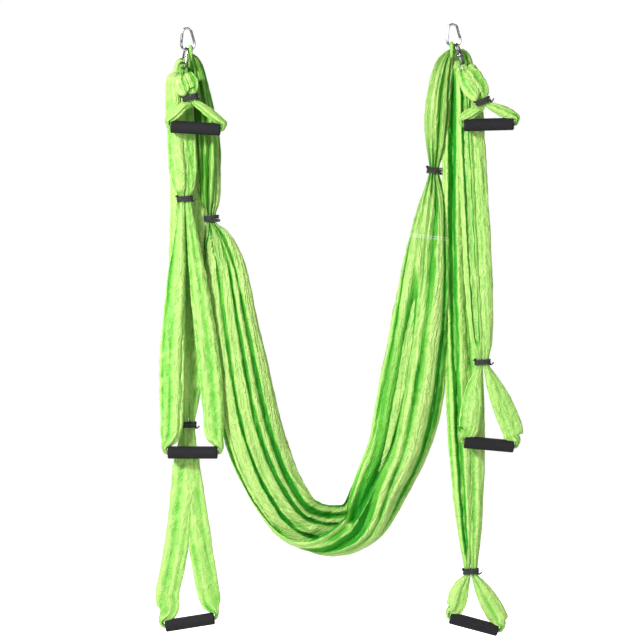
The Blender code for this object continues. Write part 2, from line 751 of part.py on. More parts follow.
    def make_grip(self):
        """The foam tube that turns on the sling's legs."""
        half = GRIP_LENGTH / 2
        profile = [(GRIP_BORE, half), (GRIP_RADIUS - GRIP_EDGE, half),
                   (GRIP_RADIUS, half - GRIP_EDGE), (GRIP_RADIUS, GRIP_EDGE - half),
                   (GRIP_RADIUS - GRIP_EDGE, -half), (GRIP_BORE, -half)]
        grip = turned(self.name + "_grip", profile, FOAM, GRIP_STEPS, closed=True)
        grip.matrix_world = frame_matrix(self.grip, Y.cross(self.grip_axis), Y, self.grip_axis)
        return grip


def make_tie(name, centre, axis, side, half_gap, half_width, half_depth):
    """A cord wound round a neck: a helix on the neck's flat round outline."""
    reach = half_width + CORD_CLEARANCE + CORD_RADIUS
    depth = half_depth + CORD_CLEARANCE + CORD_RADIUS
    count = int(CORD_TURNS * CORD_POINTS)
    length = CORD_PITCH * CORD_TURNS
    points = []
    for step in range(count):
        angle = math.tau * (step + 0.5) / CORD_POINTS
        over = math.copysign(half_gap, math.cos(angle)) + reach * math.cos(angle)
        height = length * (step / (count - 1) - 0.5)
        points.append(centre + side * over + Y * (depth * math.sin(angle)) + axis * height)
    straight_end(points)
    points.reverse()
    straight_end(points)
    print(name, "least gap to itself, mm:", round(own_gap(points) * 1000, 2))
    return add(name, tube_mesh(name, points, CORD_RADIUS, 1), ELASTIC)


def straight_end(points):
    """Run the last bit of a cord straight on for one diameter."""
    line = (points[-1] - points[-2]).normalized()
    points.append(points[-1] + line * (2 * CORD_RADIUS))


def own_gap(points):
    """The least gap between turns that are at least half a turn apart."""
    least = None
    for index, point in enumerate(points):
        for other in points[index + CORD_POINTS // 2:]:
            gap = (point - other).length - 2 * CORD_RADIUS
            least = gap if least is None else min(least, gap)
    return least


def joint_empty(name, place, pieces):
    """An empty on a joint's axis that carries the pieces of one moving body."""
    empty = bpy.data.objects.new(name, None)
    empty.location = place
    empty.empty_display_size = MAIN_LENGTH
    PARTS.objects.link(empty)
    bpy.context.view_layer.update()
    for piece in pieces:
        keep = piece.matrix_world.copy()
        piece.parent = empty
        piece.matrix_parent_inverse = empty.matrix_world.inverted()
        piece.matrix_world = keep
    print("joint", name, [round(value, 5) for value in place])
    return empty


def make_hook_pieces(hook):
    """The five pieces of one hook, and the empty of its gate."""
    body = hook.make_body()
    rivet = hook.make_rivet()
    moving = [hook.make_gate(), hook.make_plunger(), hook.make_spring()]
    joint_empty(hook.name + "_gate_joint", hook.world(hook.hinge), moving)
    normal = hook.matrix.to_3x3() @ Z
    print("axis", hook.name, [round(value, 6) for value in normal])
    return [body, rivet]


def make_sling_pieces(sling):
    """The ring, its tie and its grip, with the empties of their joints."""
    ring = sling.make()
    grip = sling.make_grip()
    half_gap = SLING_NECK_HALF_WIDTH + LEG_GAP / 2
    tie = make_tie(sling.name + "_tie", sling.tie, sling.neck_axis, sling.neck_side,
                   half_gap, SLING_NECK_HALF_WIDTH, SLING_NECK_HALF_DEPTH)
    joint_empty(sling.name + "_grip_joint", sling.grip, [grip])
    print("axis", sling.name, [round(value, 6) for value in sling.grip_axis])
    joint_empty(sling.name + "_joint", sling.seat, [ring, tie])


def make_side(label):
    """Both hooks and the three slings of one side; returns the hammock's seat."""
    side = SIDES[label]
    main = main_hook(side)
    second = second_hook(side, main)
    make_hook_pieces(main)
    hung = make_hook_pieces(second)
    middle = (main.seat(SECOND_SEAT) + main.seat(LONG_SEAT)) / 2
    joint_empty("second_hook_" + label + "_joint", middle, hung)
    seats = {"short": second.seat(SHORT_SEAT), "medium": second.seat(MEDIUM_SEAT)}
    for kind, seat in seats.items():
        name = label + "_" + kind
        make_sling_pieces(Sling(name, seat, X, SLING_LOOP, SLING_LOOP_CORD))
    name = label + "_long"
    make_sling_pieces(Sling(name, main.seat(LONG_SEAT), Y, LONG_LOOP, LONG_LOOP_CORD))
    return main.seat(-HAMMOCK_SEAT)


def make_hammock_pieces(left, right):
    """The hammock cloth and its two ties."""
    cloth, left_neck, right_neck = make_hammock(left, right)
    ties = []
    for label, neck in (("left", left_neck), ("right", right_neck)):
        centre = (neck[0].place + neck[1].place) / 2
        axis = (neck[1].place - neck[0].place).normalized()
        ties.append(make_tie("hammock_tie_" + label, centre, axis, axis.cross(Y), 0.0,
                             NECK_WIDTH / 2, NECK_DEPTH / 2))
    joint_empty("hammock_joint", left, [cloth] + ties)
    print("hammock seats", left, right)


make_hammock_pieces(make_side("left"), make_side("right"))
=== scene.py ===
"""Looks of the aerial hammock: pleated nylon cloth and slings, elastic ties, foam grips and
zinc-plated snap hooks, hung round the fixed frame.

Metres, +Z up, the front is -Y, and the origin is the left hanging point.
"""
import json
import math

import bmesh
import bpy
import numpy as np
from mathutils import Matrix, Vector


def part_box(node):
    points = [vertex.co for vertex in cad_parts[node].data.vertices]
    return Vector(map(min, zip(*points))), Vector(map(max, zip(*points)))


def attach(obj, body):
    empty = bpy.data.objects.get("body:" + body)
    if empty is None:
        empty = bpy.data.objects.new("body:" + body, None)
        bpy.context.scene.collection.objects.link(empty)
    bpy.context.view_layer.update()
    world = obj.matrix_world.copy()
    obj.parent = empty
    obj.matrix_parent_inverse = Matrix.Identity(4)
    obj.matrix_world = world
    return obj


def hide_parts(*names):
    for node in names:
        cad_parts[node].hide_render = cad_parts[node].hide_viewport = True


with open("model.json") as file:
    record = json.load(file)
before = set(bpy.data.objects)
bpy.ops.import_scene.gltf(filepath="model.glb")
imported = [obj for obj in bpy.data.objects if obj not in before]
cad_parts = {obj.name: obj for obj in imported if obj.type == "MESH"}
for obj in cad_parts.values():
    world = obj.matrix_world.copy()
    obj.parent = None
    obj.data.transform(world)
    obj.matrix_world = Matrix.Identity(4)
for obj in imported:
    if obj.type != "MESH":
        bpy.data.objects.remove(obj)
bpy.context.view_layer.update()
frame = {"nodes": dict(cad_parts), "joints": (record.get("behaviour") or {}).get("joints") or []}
JOINTS = {joint["name"]: joint for joint in frame["joints"]}
X, Y, Z = np.eye(3)

# Camera: the picture's side in pixels, one pixel's length at the object, and the origin's pixel
PICTURE = 640
PIXEL = 0.0024
ORIGIN_PIXEL = (186.5, 29.5)
CAMERA_DISTANCE = 9.0
SENSOR = 36.0

# Studio: the surround's light on the object, the lamps by place, size and power, and the floor
SURROUND = 0.17
LAMPS = {"key": ((-2.25, -3.05, 1.2), 0.6, 280),
         "fill": ((2.6, -3.0, -0.2), 2.0, 30),
         "back": ((0.6, 3.0, 1.0), 2.0, 110)}
LAMPS_AIM = (0.32, 0.0, -0.7)
FLOOR_REACH = 12.0
FLOOR_HEIGHT = -1.60

# Seats of the hammock's end loops, on the main hooks' bottom bows
LEFT_SEAT = np.array(JOINTS["hammock_swing"]["pos_m"])
SEAT_SPAN = 0.6262
RIGHT_SEAT = LEFT_SEAT + SEAT_SPAN * np.array(JOINTS["hammock_swing"]["axis"])

# Hammock cloth: cut size, drop below the seats, the bundle's greatest width and depth, and how
# far it lies behind the seats once it has dropped a little
CLOTH_FLAT = (1.50, 2.50)
HAMMOCK_DROP = 1.158
BUNCH_WIDTH = 0.160
BUNCH_DEPTH = 0.066
SET_BACK = 0.030
SET_BACK_DROP = 0.05

# The cloth's grid, how many folds are outside, on the lining and hidden, the crumples' height
# and the half width from which they are whole, and how near a tie what share of them is gone
CLOTH_COLUMNS = 204
CLOTH_ROWS = 480
CLOTH_FOLDS = (15, 6, 22)
HAMMOCK_FOLD_DEPTH = 0.5
HAMMOCK_GATHER = 0.075
HAMMOCK_CRUMPLE = (0.0027, 0.03)
TIE_SMOOTH = (0.03, 0.7)

# Places worked out across a bundle before its columns are laid, how evenly these lie, and how
# widely in the hidden folds
FINE_COLUMNS = 480
EVEN_SHARE = 0.25
HIDDEN_SHARE = 0.4

# Shade in folds: the heights, from 0 in a fold to 1 on its crest, that look darkest and
# lightest outside and on the lining, and how light the darkest is
OUTER_DARK = (0.45, 0.92)
LINING_DARK = (0.05, 0.75)
FOLD_LIGHT = 0.05

# Above its ties the hammock's painted fold shade is lifted, so its folds are painted lighter: over what
# height this starts, and how much
UPPER_FADE = 0.04
UPPER_LIGHT = 0.45

# The broad fold down the right run, a real fold that is painted darker as well: where it starts, is
# deepest and ends, in turns round the bundle, how deep it is, and where it fades in and out, in shares
# of the span
VALLEY_TURNS = (0.105, 0.200, 0.218)
VALLEY_DEPTH = 0.8
VALLEY_IN = (0.60, 0.06)
VALLEY_OUT = (0.905, 0.03)

# The casings at the cloth's ends: half thickness, radius over the wire, how far down their legs
# reach, rows, how light they are and how uneven
END_CORD = 0.0042
END_LOOP = 0.0083
END_LEG = 0.012
END_ROWS = 90
END_CREST = 0.7
END_UNEVEN = 0.06

# Rows down the left run, round the seat and up the right run: across the span, down the
# drop, width, depth, where the cloth's front edge lies round the bundle (in turns, from the
# inner side by the front), how far out the folds' bottoms stay (below 0 past the middle), how
# far back the lining lies (-1 at the front, 1 at the back) and how deep its folds are. The
# last three are the same wherever the bundle is closed
CLOSED = (-0.75, -0.3, 0.3)
CLOTH_SHARES = (
    (0.000, 0.010, 0.080, 0.20, 0.10, *CLOSED),
    (0.006, 0.022, 0.230, 0.36, 0.10, *CLOSED),
    (0.014, 0.045, 0.320, 0.56, 0.10, *CLOSED),
    (0.036, 0.105, 0.360, 0.72, 0.12, *CLOSED),
    (0.056, 0.160, 0.400, 0.84, 0.14, *CLOSED),
    (0.066, 0.208, 0.400, 0.84, 0.16, *CLOSED),
    (0.073, 0.302, 0.330, 0.64, 0.20, *CLOSED),
    (0.075, 0.340, 0.165, 0.34, 0.24, -0.75, -0.7, 0.8),
    (0.077, 0.360, 0.165, 0.34, 0.30, -0.75, -0.8, 0.7),
    (0.100, 0.394, 0.430, 0.60, 0.38, -0.75, -0.9, 0.6),
    (0.132, 0.457, 0.640, 0.80, 0.44, -0.75, -0.9, 0.6),
    (0.157, 0.544, 0.750, 0.95, 0.46, -0.75, -0.9, 0.6),
    (0.186, 0.640, 0.850, 1.00, 0.46, -0.75, -0.9, 0.6),
    (0.220, 0.743, 0.910, 1.10, 0.45, -0.75, -0.85, 0.6),
    (0.266, 0.834, 0.900, 1.25, 0.46, -0.30, -0.7, 0.6),
    (0.333, 0.915, 0.840, 1.45, 0.45, -0.10, -0.5, 0.55),
    (0.420, 0.979, 0.800, 1.70, 0.40, 0.10, -0.2, 0.5),
    (0.538, 1.000, 0.780, 1.85, 0.24, 0.10, 0.1, 0.4),
    (0.648, 0.985, 0.780, 1.70, 0.12, 0.10, 0.1, 0.4),
    (0.727, 0.911, 0.830, 1.40, 0.05, -0.10, 0.0, 0.5),
    (0.795, 0.832, 0.900, 1.20, 0.02, -0.30, -0.4, 0.8),
    (0.838, 0.735, 0.980, 1.10, 0.01, *CLOSED),
    (0.872, 0.619, 0.920, 1.00, 0.01, *CLOSED),
    (0.894, 0.519, 0.810, 0.95, 0.01, *CLOSED),
    (0.910, 0.420, 0.640, 0.85, 0.01, *CLOSED),
    (0.930, 0.320, 0.400, 0.60, 0.01, *CLOSED),
    (0.933, 0.264, 0.165, 0.34, 0.01, *CLOSED),
    (0.935, 0.244, 0.165, 0.34, 0.01, *CLOSED),
    (0.940, 0.202, 0.310, 0.62, 0.01, *CLOSED),
    (0.944, 0.146, 0.380, 0.74, 0.01, *CLOSED),
    (0.954, 0.090, 0.350, 0.66, 0.01, *CLOSED),
    (0.970, 0.042, 0.290, 0.50, 0.01, *CLOSED),
    (0.984, 0.022, 0.200, 0.32, 0.01, *CLOSED),
    (1.000, 0.010, 0.090, 0.20, 0.01, *CLOSED))

# Slings: endless rings of cloth. Shoulder: how far it hangs below the hook's wire, how far it
# stands to +X, and its Y. Band and leg: half widths as seen from the front. Late: the share
# of the band that hangs straight. Bow: how far each leg bends to +X. Valley: how deep the
# broad fold down the band's front is, a real fold that is painted darker as well
SLINGS = {
    "left_short": dict(shoulder=(0.025, 0.004, -0.028), band=0.017, leg=0.013),
    "left_medium": dict(shoulder=(0.028, -0.010, -0.002), band=0.020, leg=0.028),
    "left_long": dict(shoulder=(0.044, -0.004, 0.033), band=0.026, leg=0.030, bow=(0.014, 0.024)),
    "right_short": dict(shoulder=(0.028, 0.010, -0.024), band=0.019, leg=0.014),
    "right_medium": dict(shoulder=(0.028, 0.010, -0.002), band=0.0195, leg=0.026, valley=0.7),
    "right_long": dict(shoulder=(0.044, 0.014, 0.033), band=0.027, leg=0.023, late=0.35,
                       valley=0.8),
}

# Down a band and down a leg: shares of its length with shares of its half width
BAND_SHARES = {"short": ((0.0, 0.85), (0.5, 1.0), (0.88, 0.8)),
               "medium": ((0.0, 0.85), (0.25, 1.0), (0.5, 1.0), (0.75, 1.0), (0.93, 0.8)),
               "long": ((0.0, 0.75), (0.2, 0.85), (0.4, 0.9), (0.6, 1.0), (0.75, 0.98), (0.9, 0.72))}
LEG_SHARES = {"short": ((0.22, 0.8), (0.55, 1.0), (0.82, 0.9)),
              "medium": ((0.08, 0.4), (0.3, 0.75), (0.6, 1.0), (0.85, 0.97), (0.95, 0.85)),
              "long": ((0.06, 0.4), (0.3, 0.8), (0.6, 1.0), (0.85, 0.97), (0.95, 0.85)),
              "left_long": ((0.05, 0.5), (0.18, 0.9), (0.35, 1.0), (0.6, 1.0), (0.85, 0.97),
                            (0.95, 0.85))}

# A sling's cut width, its half depth, how far a band's sides stand apart, in half widths, and
# lie one behind the other, and how far the legs stand out past the grip's ends
SLING_WIDTH = 0.25
BUNDLE_HALF_DEPTHS = {"short": 0.014, "medium": 0.011, "long": 0.011}
BAND_SPREAD = 0.72
BAND_STAGGER = 0.003
LEG_OVERHANG = (0.016, 0.016)
LEFT_LONG_OVERHANG = (0.012, 0.024)

# A sling's grid and folds, as for the cloth, and the least light that the painted shade in its folds
# leaves
SLING_COLUMNS = 84
SLING_ROWS = 440
SLING_FOLDS = (6, 3, 13)
SLING_FOLD_DEPTH = 0.4
SLING_GATHER = 0.045
SLING_CRUMPLE = (0.0026, 0.02)
SLING_EDGE = 0.03
SLING_LEAST = -0.6
SLING_LINING = (-0.2, 0.3)
SLING_FOLD_LIGHT = 0.28
SLING_VALLEY_FADE = 0.05
SLING_VALLEY_TURNS = (0.17, 0.24, 0.33)

# A sling's loop over the wire: radius, half thickness and narrowness. The throat below it:
# drop, size, spread, and how far it leans to the shoulder
SLING_LOOP = 0.0071
SLING_CORD = 0.0042
LONG_LOOP = 0.0061
LONG_CORD = 0.0030
LOOP_NARROW = 0.75
THROAT = 0.014
THROAT_SWELL = (1.2, 1.1)
THROAT_SPREAD = 0.9
THROAT_LEAN = 0.33

# The neck under a sling's tie, and the gap between its two legs there
NECK_LENGTH = 0.022
NECK_HALF_WIDTH = 0.008
NECK_HALF_DEPTH = 0.0072
LEG_GAP = 0.0006

# How densely rows lie on each stretch of a sling, and on the hammock where it is thin
DENSE = {"hook": 4, "throat": 3, "hung": 1, "neck": 1.5, "head": 2, "exit": 3, "bore": 0.4,
         "thin": 1.6}
THIN = 0.3

# Grips, and the legs' way round their ends and into their bore
GRIP_LENGTH = 0.120
GRIP_RADIUS = 0.015
GRIP_BORE = 0.009
GRIP_ROUND = 0.0042
GRIP_LIP = 0.0012
GRIP_SIDES = 56
GRIP_WOBBLE = 0.012
EXIT_REACH = 0.0005
EXIT_BEND = 0.006
EXIT_HALF_WIDTH = 0.0052
HEAD_SWELL = 1.7
HEAD_HALF_DEPTH = 0.0125
ROPE_RADIUS = 0.0084

# Ties: the cord's radius, its winding, how square it goes round two legs, its loose ends, how
# far it stays off the cloth, and how uneven it is
TIE_CORD = 0.0017
TIE_PITCH = 0.0035
TIE_TURNS = 4.5
TIE_STEPS = 28
TIE_START = 0.35
TIE_SQUARE = 4
TIE_TAIL = 0.008
TIE_CLEARANCE = 0.0006
TIE_UNEVEN = 0.0009
TIE_SWELL = 0.03
TIE_SIDES = 12
HAMMOCK_NECK = (0.0150, 0.0120)
HAMMOCK_TIE_AXES = {"left": (0.02, 0, -0.25), "right": (0.02, 0, 0.25)}

# Nylon's colours: painted shade deep in a fold, painted half shade on its slope, a painted highlight on
# a crest, lit through, and the stitches
NYLON_PAINTED_FOLD_SHADE = (0.002, 0.29, 0.001)
NYLON_PAINTED_SLOPE_SHADE = (0.13, 0.52, 0.030)
NYLON_PAINTED_CREST_HIGHLIGHT = (0.51, 0.77, 0.20)
NYLON_THROUGH = (0.10, 0.80, 0.02)
THROUGH_SHARE = 0.22
NYLON_BUMP = 0.0065
STITCH_COLOUR = (0.85, 0.95, 0.80)
STITCHES_PER_METRE = 160.0
STITCH_SHARE = 0.6
STITCH_HALF_WIDTH = 0.0009

# The elastic's braid: how steeply its strands slant, and radians in each metre
BRAID_SLOPE = 0.8
BRAID_TURNS = 3800.0

# Pairs of colours: foam fresh and worn, elastic between and on its painted highlight flecks, zinc dull
# and bright
FOAM_COLOURS = (0.009, 0.008, 0.010), (0.019, 0.018, 0.021)
ELASTIC_AND_GLINT_COLOURS = (0.006, 0.006, 0.007), (0.16, 0.16, 0.17)
ZINC_COLOURS = (0.22, 0.23, 0.25), (0.50, 0.51, 0.53)

# Rows of stitches, in metres along the cloth
HAMMOCK_SEAMS = (2.035, 2.040)
SLING_SEAMS = (0.030, 0.034, 0.038)

# Seeds of the random draws, and how far apart those of two slings are
SEEDS = {"cloth": 11, "crumples": 41, "end": 71, "sling": 200, "tie": 500, "hammock_tie": 520}
SEED_STEP = 50

# Noise, curves and tubes: a smoothed lattice's gain, steps between two rows, the least
# density, how close welded points are, and degrees up a domed end
NOISE_GAIN = 1.6
CURVE_STEPS = 24
LEAST_DENSE = 0.2
WELD = 1e-7
DOME_RISES = (30, 60, 80, 90)

# Creases: how far they stray from even places, how often they turn and how much they fade
# along the cloth, the least depth, and how depth grows with width
CREASE_STRAY = 0.42
CREASE_CELLS = (3, 7)
CREASE_FADE = 0.7
CREASE_LEAST = 0.02
CREASE_STEEP = 0.8
GATHER_CREASES = {"wide": (0.5, 0.9), "wander": 0.4, "whole": 1.0}
LINING_CREASES = {"wide": (0.15, 0.6), "wander": 0.5, "whole": 0.95}

# Pleats and crumples: how far crease lines stray and wander, the facets' share, the ridges'
# scales with their shares, and their middle height
PLEAT_STRAY = 0.3
PLEAT_WANDER = 0.45
FACET_SHARE = 1.1
CRUMPLE_OCTAVES = ((1, 0.4), (2, 0.6), (4, 0.5))
CRUMPLE_MIDDLE = 0.3

# A bundle's outside: where it ends, in turns, how far its folds stray, its reach in the gathers
# and how much more beside them, how it narrows in folds and gathers, and its sway and ripples
LAST_TURN = 0.97
FOLD_STRAY = 0.03
GATHER_REACH = (0.55, 0.45)
FOLD_NARROW = 0.16
GATHER_NARROW = 0.12
SWAY = 0.04
RIPPLE = 0.12

# Its lining: where it starts and how far it goes, how it rounds off at the sides, and its
# gathers, sway and ripples. Its hidden folds: their reach to the sides, back and front
LINING_OVER = (0.94, 1.86)
LINING_ROUND = (0.03, 0.45)
LINING_GATHER = 0.25
LINING_SWAY = 0.03
LINING_RIPPLE = 0.05
HIDDEN_OVER = 0.88
HIDDEN_BACK = 0.8
HIDDEN_FRONT = (0.6, 0.1)

# How proud a point is: reaches with the heights that count as one, a flat panel's value and
# the heights' share, and for its slope the reach, the least cosine and how much more is level
PROUD_SCALES = ((2, 0.0016), (6, 0.0050))
PROUD_FLAT = 0.70
PROUD_SHARE = 0.16
LEVEL_REACH = 8
LEVEL_RANGE = (0.45, 0.4)


def unit(vectors):
    """Vectors made one long."""
    vectors = np.asarray(vectors, float)
    return vectors / np.maximum(np.linalg.norm(vectors, axis=-1, keepdims=True), 1e-12)


def ramp(value, start, length):
    """0 up to a start, 1 from a length past it, and straight between."""
    return np.clip((value - start) / length, 0, 1)


def weights(count, cells, ring):
    """Cubic B-spline weights: each of count samples is a smooth mean of four lattice points."""
    at = np.arange(count) / (count if ring else count - 1) * cells
    first = np.minimum(at.astype(int), cells - 1)
    part = at - first
    parts = [(1 - part) ** 3 / 6, (3 * part ** 3 - 6 * part ** 2 + 4) / 6,
             (-3 * part ** 3 + 3 * part ** 2 + 3 * part + 1) / 6, part ** 3 / 6]
    size = cells if ring else cells + 3
    table = np.zeros((count, size))
    for step, part_weight in enumerate(parts):
        column = (first + step) % size
        table[np.arange(count), column] += part_weight
    return table


def noise(rows, columns, row_cells, column_cells, seed, ring=False):
    """Smooth random heights on a grid, from about -1 to 1: a random lattice, B-spline filled."""
    down = weights(rows, row_cells, ring)
    over = weights(columns, column_cells, False)
    lattice = np.random.default_rng(seed).uniform(-1, 1, (down.shape[1], over.shape[1]))
    return NOISE_GAIN * down @ lattice @ over.T


def through(table, count, ring=False):
    """Catmull-Rom curve through the rows of a table. The first three columns are the place
    and the last is how densely the samples lie there. Returns samples and length so far."""
    table = np.array(table, float)
    padded = np.vstack((table[-1:], table, table[:2]) if ring else
                       (2 * table[:1] - table[1:2], table, 2 * table[-1:] - table[-2:-1]))
    fine = np.linspace(0, 1, CURVE_STEPS, endpoint=False)[:, None]
    pieces = []
    for p, a, b, n in zip(padded[:-3], padded[1:-2], padded[2:-1], padded[3:]):
        pieces.append(0.5 * (2 * a + (b - p) * fine + (2 * p - 5 * a + 4 * b - n) * fine ** 2
                             + (3 * a - p - 3 * b + n) * fine ** 3))
    dense = np.vstack(pieces + [table[:1] if ring else table[-1:]])
    steps = np.linalg.norm(np.diff(dense[:, :3], axis=0), axis=1)
    far = np.concatenate(([0], np.cumsum(steps)))
    weighed = np.concatenate(([0], np.cumsum(steps * np.maximum(dense[1:, -1], LEAST_DENSE))))
    at = np.linspace(0, weighed[-1], count, endpoint=not ring)
    samples = np.stack([np.interp(at, weighed, column) for column in dense.T], axis=1)
    return samples, np.interp(at, weighed, far)


def linked(name, data):
    """A new object of some data, in the scene."""
    made = bpy.data.objects.new(name, data)
    bpy.context.scene.collection.objects.link(made)
    return made


def cloth_uv(across, along):
    """Each grid point's place across and along its piece, in metres."""
    return np.stack(np.broadcast_arrays(across[None, :], along[:, None]), axis=-1)


def grid_mesh(name, points, material, uv=None, ring=False, round_section=False, weld=False,
              crest=None):
    """A mesh through a grid of points; ring joins the last row to the first, round_section
    the last column to the first, weld closes poles and turns the faces outward, and crest
    is a value for each point that the material reads, its painted light and shade."""
    rows, columns = points.shape[:2]
    index = np.arange(rows * columns).reshape(rows, columns)
    if ring:
        index = np.vstack((index, index[:1]))
    if round_section:
        index = np.hstack((index, index[:, :1]))
    quads = np.stack((index[:-1, :-1], index[:-1, 1:], index[1:, 1:], index[1:, :-1]), axis=-1)
    quads = quads.reshape(-1, 4)
    mesh = bpy.data.meshes.new(name)
    mesh.vertices.add(rows * columns)
    mesh.vertices.foreach_set("co", points.reshape(-1))
    mesh.loops.add(quads.size)
    mesh.loops.foreach_set("vertex_index", quads.reshape(-1))
    mesh.polygons.add(len(quads))
    mesh.polygons.foreach_set("loop_start", np.arange(len(quads)) * 4)
    mesh.update(calc_edges=True)
    if uv is not None:
        if ring:
            uv = np.vstack((uv, uv[:1] + [[[0, uv[-1, 0, 1] + uv[1, 0, 1] - uv[0, 0, 1]]]]))
        if round_section:
            uv = np.hstack((uv, uv[:, :1] + [[[uv[0, -1, 0] + uv[0, 1, 0] - uv[0, 0, 0], 0]]]))
        corners = np.stack((uv[:-1, :-1], uv[:-1, 1:], uv[1:, 1:], uv[1:, :-1]), axis=2)
        layer = mesh.uv_layers.new(name="cloth")
        layer.data.foreach_set("uv", corners.reshape(-1))
    if crest is not None:
        values = mesh.attributes.new("crest", "FLOAT", "POINT")
        values.data.foreach_set("value", crest.reshape(-1))
    if weld:
        grown = bmesh.new()
        grown.from_mesh(mesh)
        bmesh.ops.remove_doubles(grown, verts=grown.verts, dist=WELD)
        bmesh.ops.recalc_face_normals(grown, faces=grown.faces)
        grown.to_mesh(mesh)
        grown.free()
    mesh.shade_smooth()
    mesh.validate()
    mesh.materials.append(material)
    return linked(name, mesh)


def dress(piece, body, slot, *nodes):
    """Say which body a piece rides on and which nodes it stands for; slot, its finish, is not used."""
    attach(piece, body)
    if nodes:
        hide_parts(*nodes)
    return piece


class Socket:
    """A shader value; arithmetic on it adds Math nodes."""

    def __init__(self, tree, socket):
        self.tree = tree
        self.socket = socket

    def maths(self, operation, *others):
        """A Math node on this value and others."""
        return self.tree.node("ShaderNodeMath", {"operation": operation},
                              dict(enumerate((self,) + others)))[0]

    def __add__(self, other):
        return self.maths("ADD", other)

    __radd__ = __add__

    def __mul__(self, other):
        return self.maths("MULTIPLY", other)

    __rmul__ = __mul__

    def __sub__(self, other):
        return self.maths("SUBTRACT", other)

    def __rsub__(self, other):
        return (self * -1) + other

    def __pow__(self, other):
        return self.maths("POWER", other)

    def size(self):
        """The value without its sign."""
        return self.maths("ABSOLUTE")

    def below(self, limit):
        """One where the value is under a limit, else zero."""
        return self.maths("LESS_THAN", limit)

    def clamped(self):
        """The value, kept between 0 and 1."""
        return self.maths("MAXIMUM", 0.0).maths("MINIMUM", 1.0)


class Shader:
    """A material's node tree."""

    def __init__(self, name, colour, roughness, metallic=0.0, **fixed):
        self.material = bpy.data.materials.new(name)
        self.material.use_nodes = True
        self.nodes = self.material.node_tree.nodes
        self.links = self.material.node_tree.links
        self.principled = self.nodes["Principled BSDF"]
        self.set(self.principled, {"Base Color": (*colour, 1.0), "Roughness": roughness,
                                   "Metallic": metallic, **fixed})

    def set(self, node, values):
        """Fill a node's sockets with numbers or links."""
        for key, value in values.items():
            if isinstance(value, Socket):
                self.links.new(value.socket, node.inputs[key])
            else:
                node.inputs[key].default_value = value

    def node(self, kind, settings, values):
        """Add a node: its settings, then its sockets by name or number; returns its outputs."""
        made = self.nodes.new(kind)
        for key, value in settings.items():
            setattr(made, key, value)
        self.set(made, values)
        return [Socket(self, output) for output in made.outputs if output.enabled]

    def object_place(self):
        """Object coordinates, the node's output 3."""
        return self.node("ShaderNodeTexCoord", {}, {})[3]

    def cloth_place(self, stretch=(1.0, 1.0)):
        """The piece's own coordinates, in metres, stretched across or along."""
        place = self.node("ShaderNodeUVMap", {"uv_map": "cloth"}, {})[0]
        return self.node("ShaderNodeMapping", {"vector_type": "POINT"},
                         {"Vector": place, "Scale": (*stretch, 1.0)})[0]

    def value(self, name):
        """A number that the mesh holds for each point, the node's output 2."""
        return self.node("ShaderNodeAttribute", {"attribute_name": name}, {})[2]

    def parts(self, place):
        """The three numbers of a place."""
        return self.node("ShaderNodeSeparateXYZ", {}, {"Vector": place})

    def rough(self, place, scale, detail=2.0, roughness=0.5, warp=0.0):
        """Noise, from 0 to 1."""
        return self.node("ShaderNodeTexNoise", {},
                         {"Vector": place, "Scale": scale, "Detail": detail,
                          "Roughness": roughness, "Distortion": warp})[0]

    def bump(self, height, distance, strength=1.0):
        """A bump of a height."""
        return self.node("ShaderNodeBump", {}, {"Height": height, "Distance": distance,
                                                "Strength": strength})[0]

    def mix(self, share, first, second):
        """Two colours mixed, which go into the node's sockets 6 and 7."""
        first, second = (colour if isinstance(colour, Socket) else (*colour, 1.0)
                         for colour in (first, second))
        return self.node("ShaderNodeMix", {"data_type": "RGBA"},
                         {0: share, 6: first, 7: second})[0]


def nylon(name, seams, lines, crumples):
    """Crinkled lime-green nylon. Two ridged noises, each one minus the size of a noise, are
    long fold lines and crumples, and the bump adds a broad and a fine noise to them. The
    painted light is the mesh's crest with a little of each: painted shade, deep green, in the
    folds, which are dull, and a painted highlight, pale, on the crests and the bumps' high
    places, which are smoother. The thin weave lets light through, and seams are rows of pale
    stitches."""
    shader = Shader(name, (0.30, 0.75, 0.09), 0.42)
    place = shader.cloth_place()
    broad = shader.rough(shader.cloth_place((1.0, 0.3)), 26.0, warp=0.6)
    long_fold = shader.rough(shader.cloth_place((1.0, 0.10)), 48.0, warp=0.3) * 2 - 1
    line = (1 - (long_fold * 4.0).size()).clamped()
    crease = shader.rough(shader.cloth_place((1.0, 0.8)), 55.0, warp=0.7) * 2 - 1
    ridge = (1 - (crease * 5.0).size()).clamped()
    fine = shader.rough(place, 260.0, roughness=0.6, warp=0.3)
    height = line * lines + ridge * crumples + broad + fine * 0.12
    normal = shader.bump(height, NYLON_BUMP)
    crest = shader.value("crest")
    # Painted light and shade: low in the folds, high on crests, ridges and fold lines
    painted_light = (crest * 1.10 + ridge * 0.08 + line * 0.06 + broad * 0.18 - 0.13).clamped()
    shade = shader.mix((painted_light * 2.0).clamped(), NYLON_PAINTED_FOLD_SHADE, NYLON_PAINTED_SLOPE_SHADE)
    colour = shader.mix((painted_light * 2.0 - 1.0).clamped(), shade, NYLON_PAINTED_CREST_HIGHLIGHT)
    across, along, _ = shader.parts(place)
    stitch = (across * STITCHES_PER_METRE).maths("FRACT").below(STITCH_SHARE)
    for seam in seams:
        row = (along - seam).size().below(STITCH_HALF_WIDTH)
        colour = shader.mix(row * stitch, colour, STITCH_COLOUR)
    shader.set(shader.principled, {"Base Color": colour, "Normal": normal,
                                   "Roughness": 0.78 - painted_light * 0.36,
                                   "Specular IOR Level": 0.55})
    own = Socket(shader, shader.principled.outputs[0])
    through_light = shader.node("ShaderNodeBsdfTranslucent", {},
                                {"Color": (*NYLON_THROUGH, 1.0), "Normal": normal})[0]
    mixed = shader.node("ShaderNodeMixShader", {}, {0: THROUGH_SHARE, 1: own, 2: through_light})[0]
    shader.set(shader.nodes["Material Output"], {"Surface": mixed})
    return shader.material


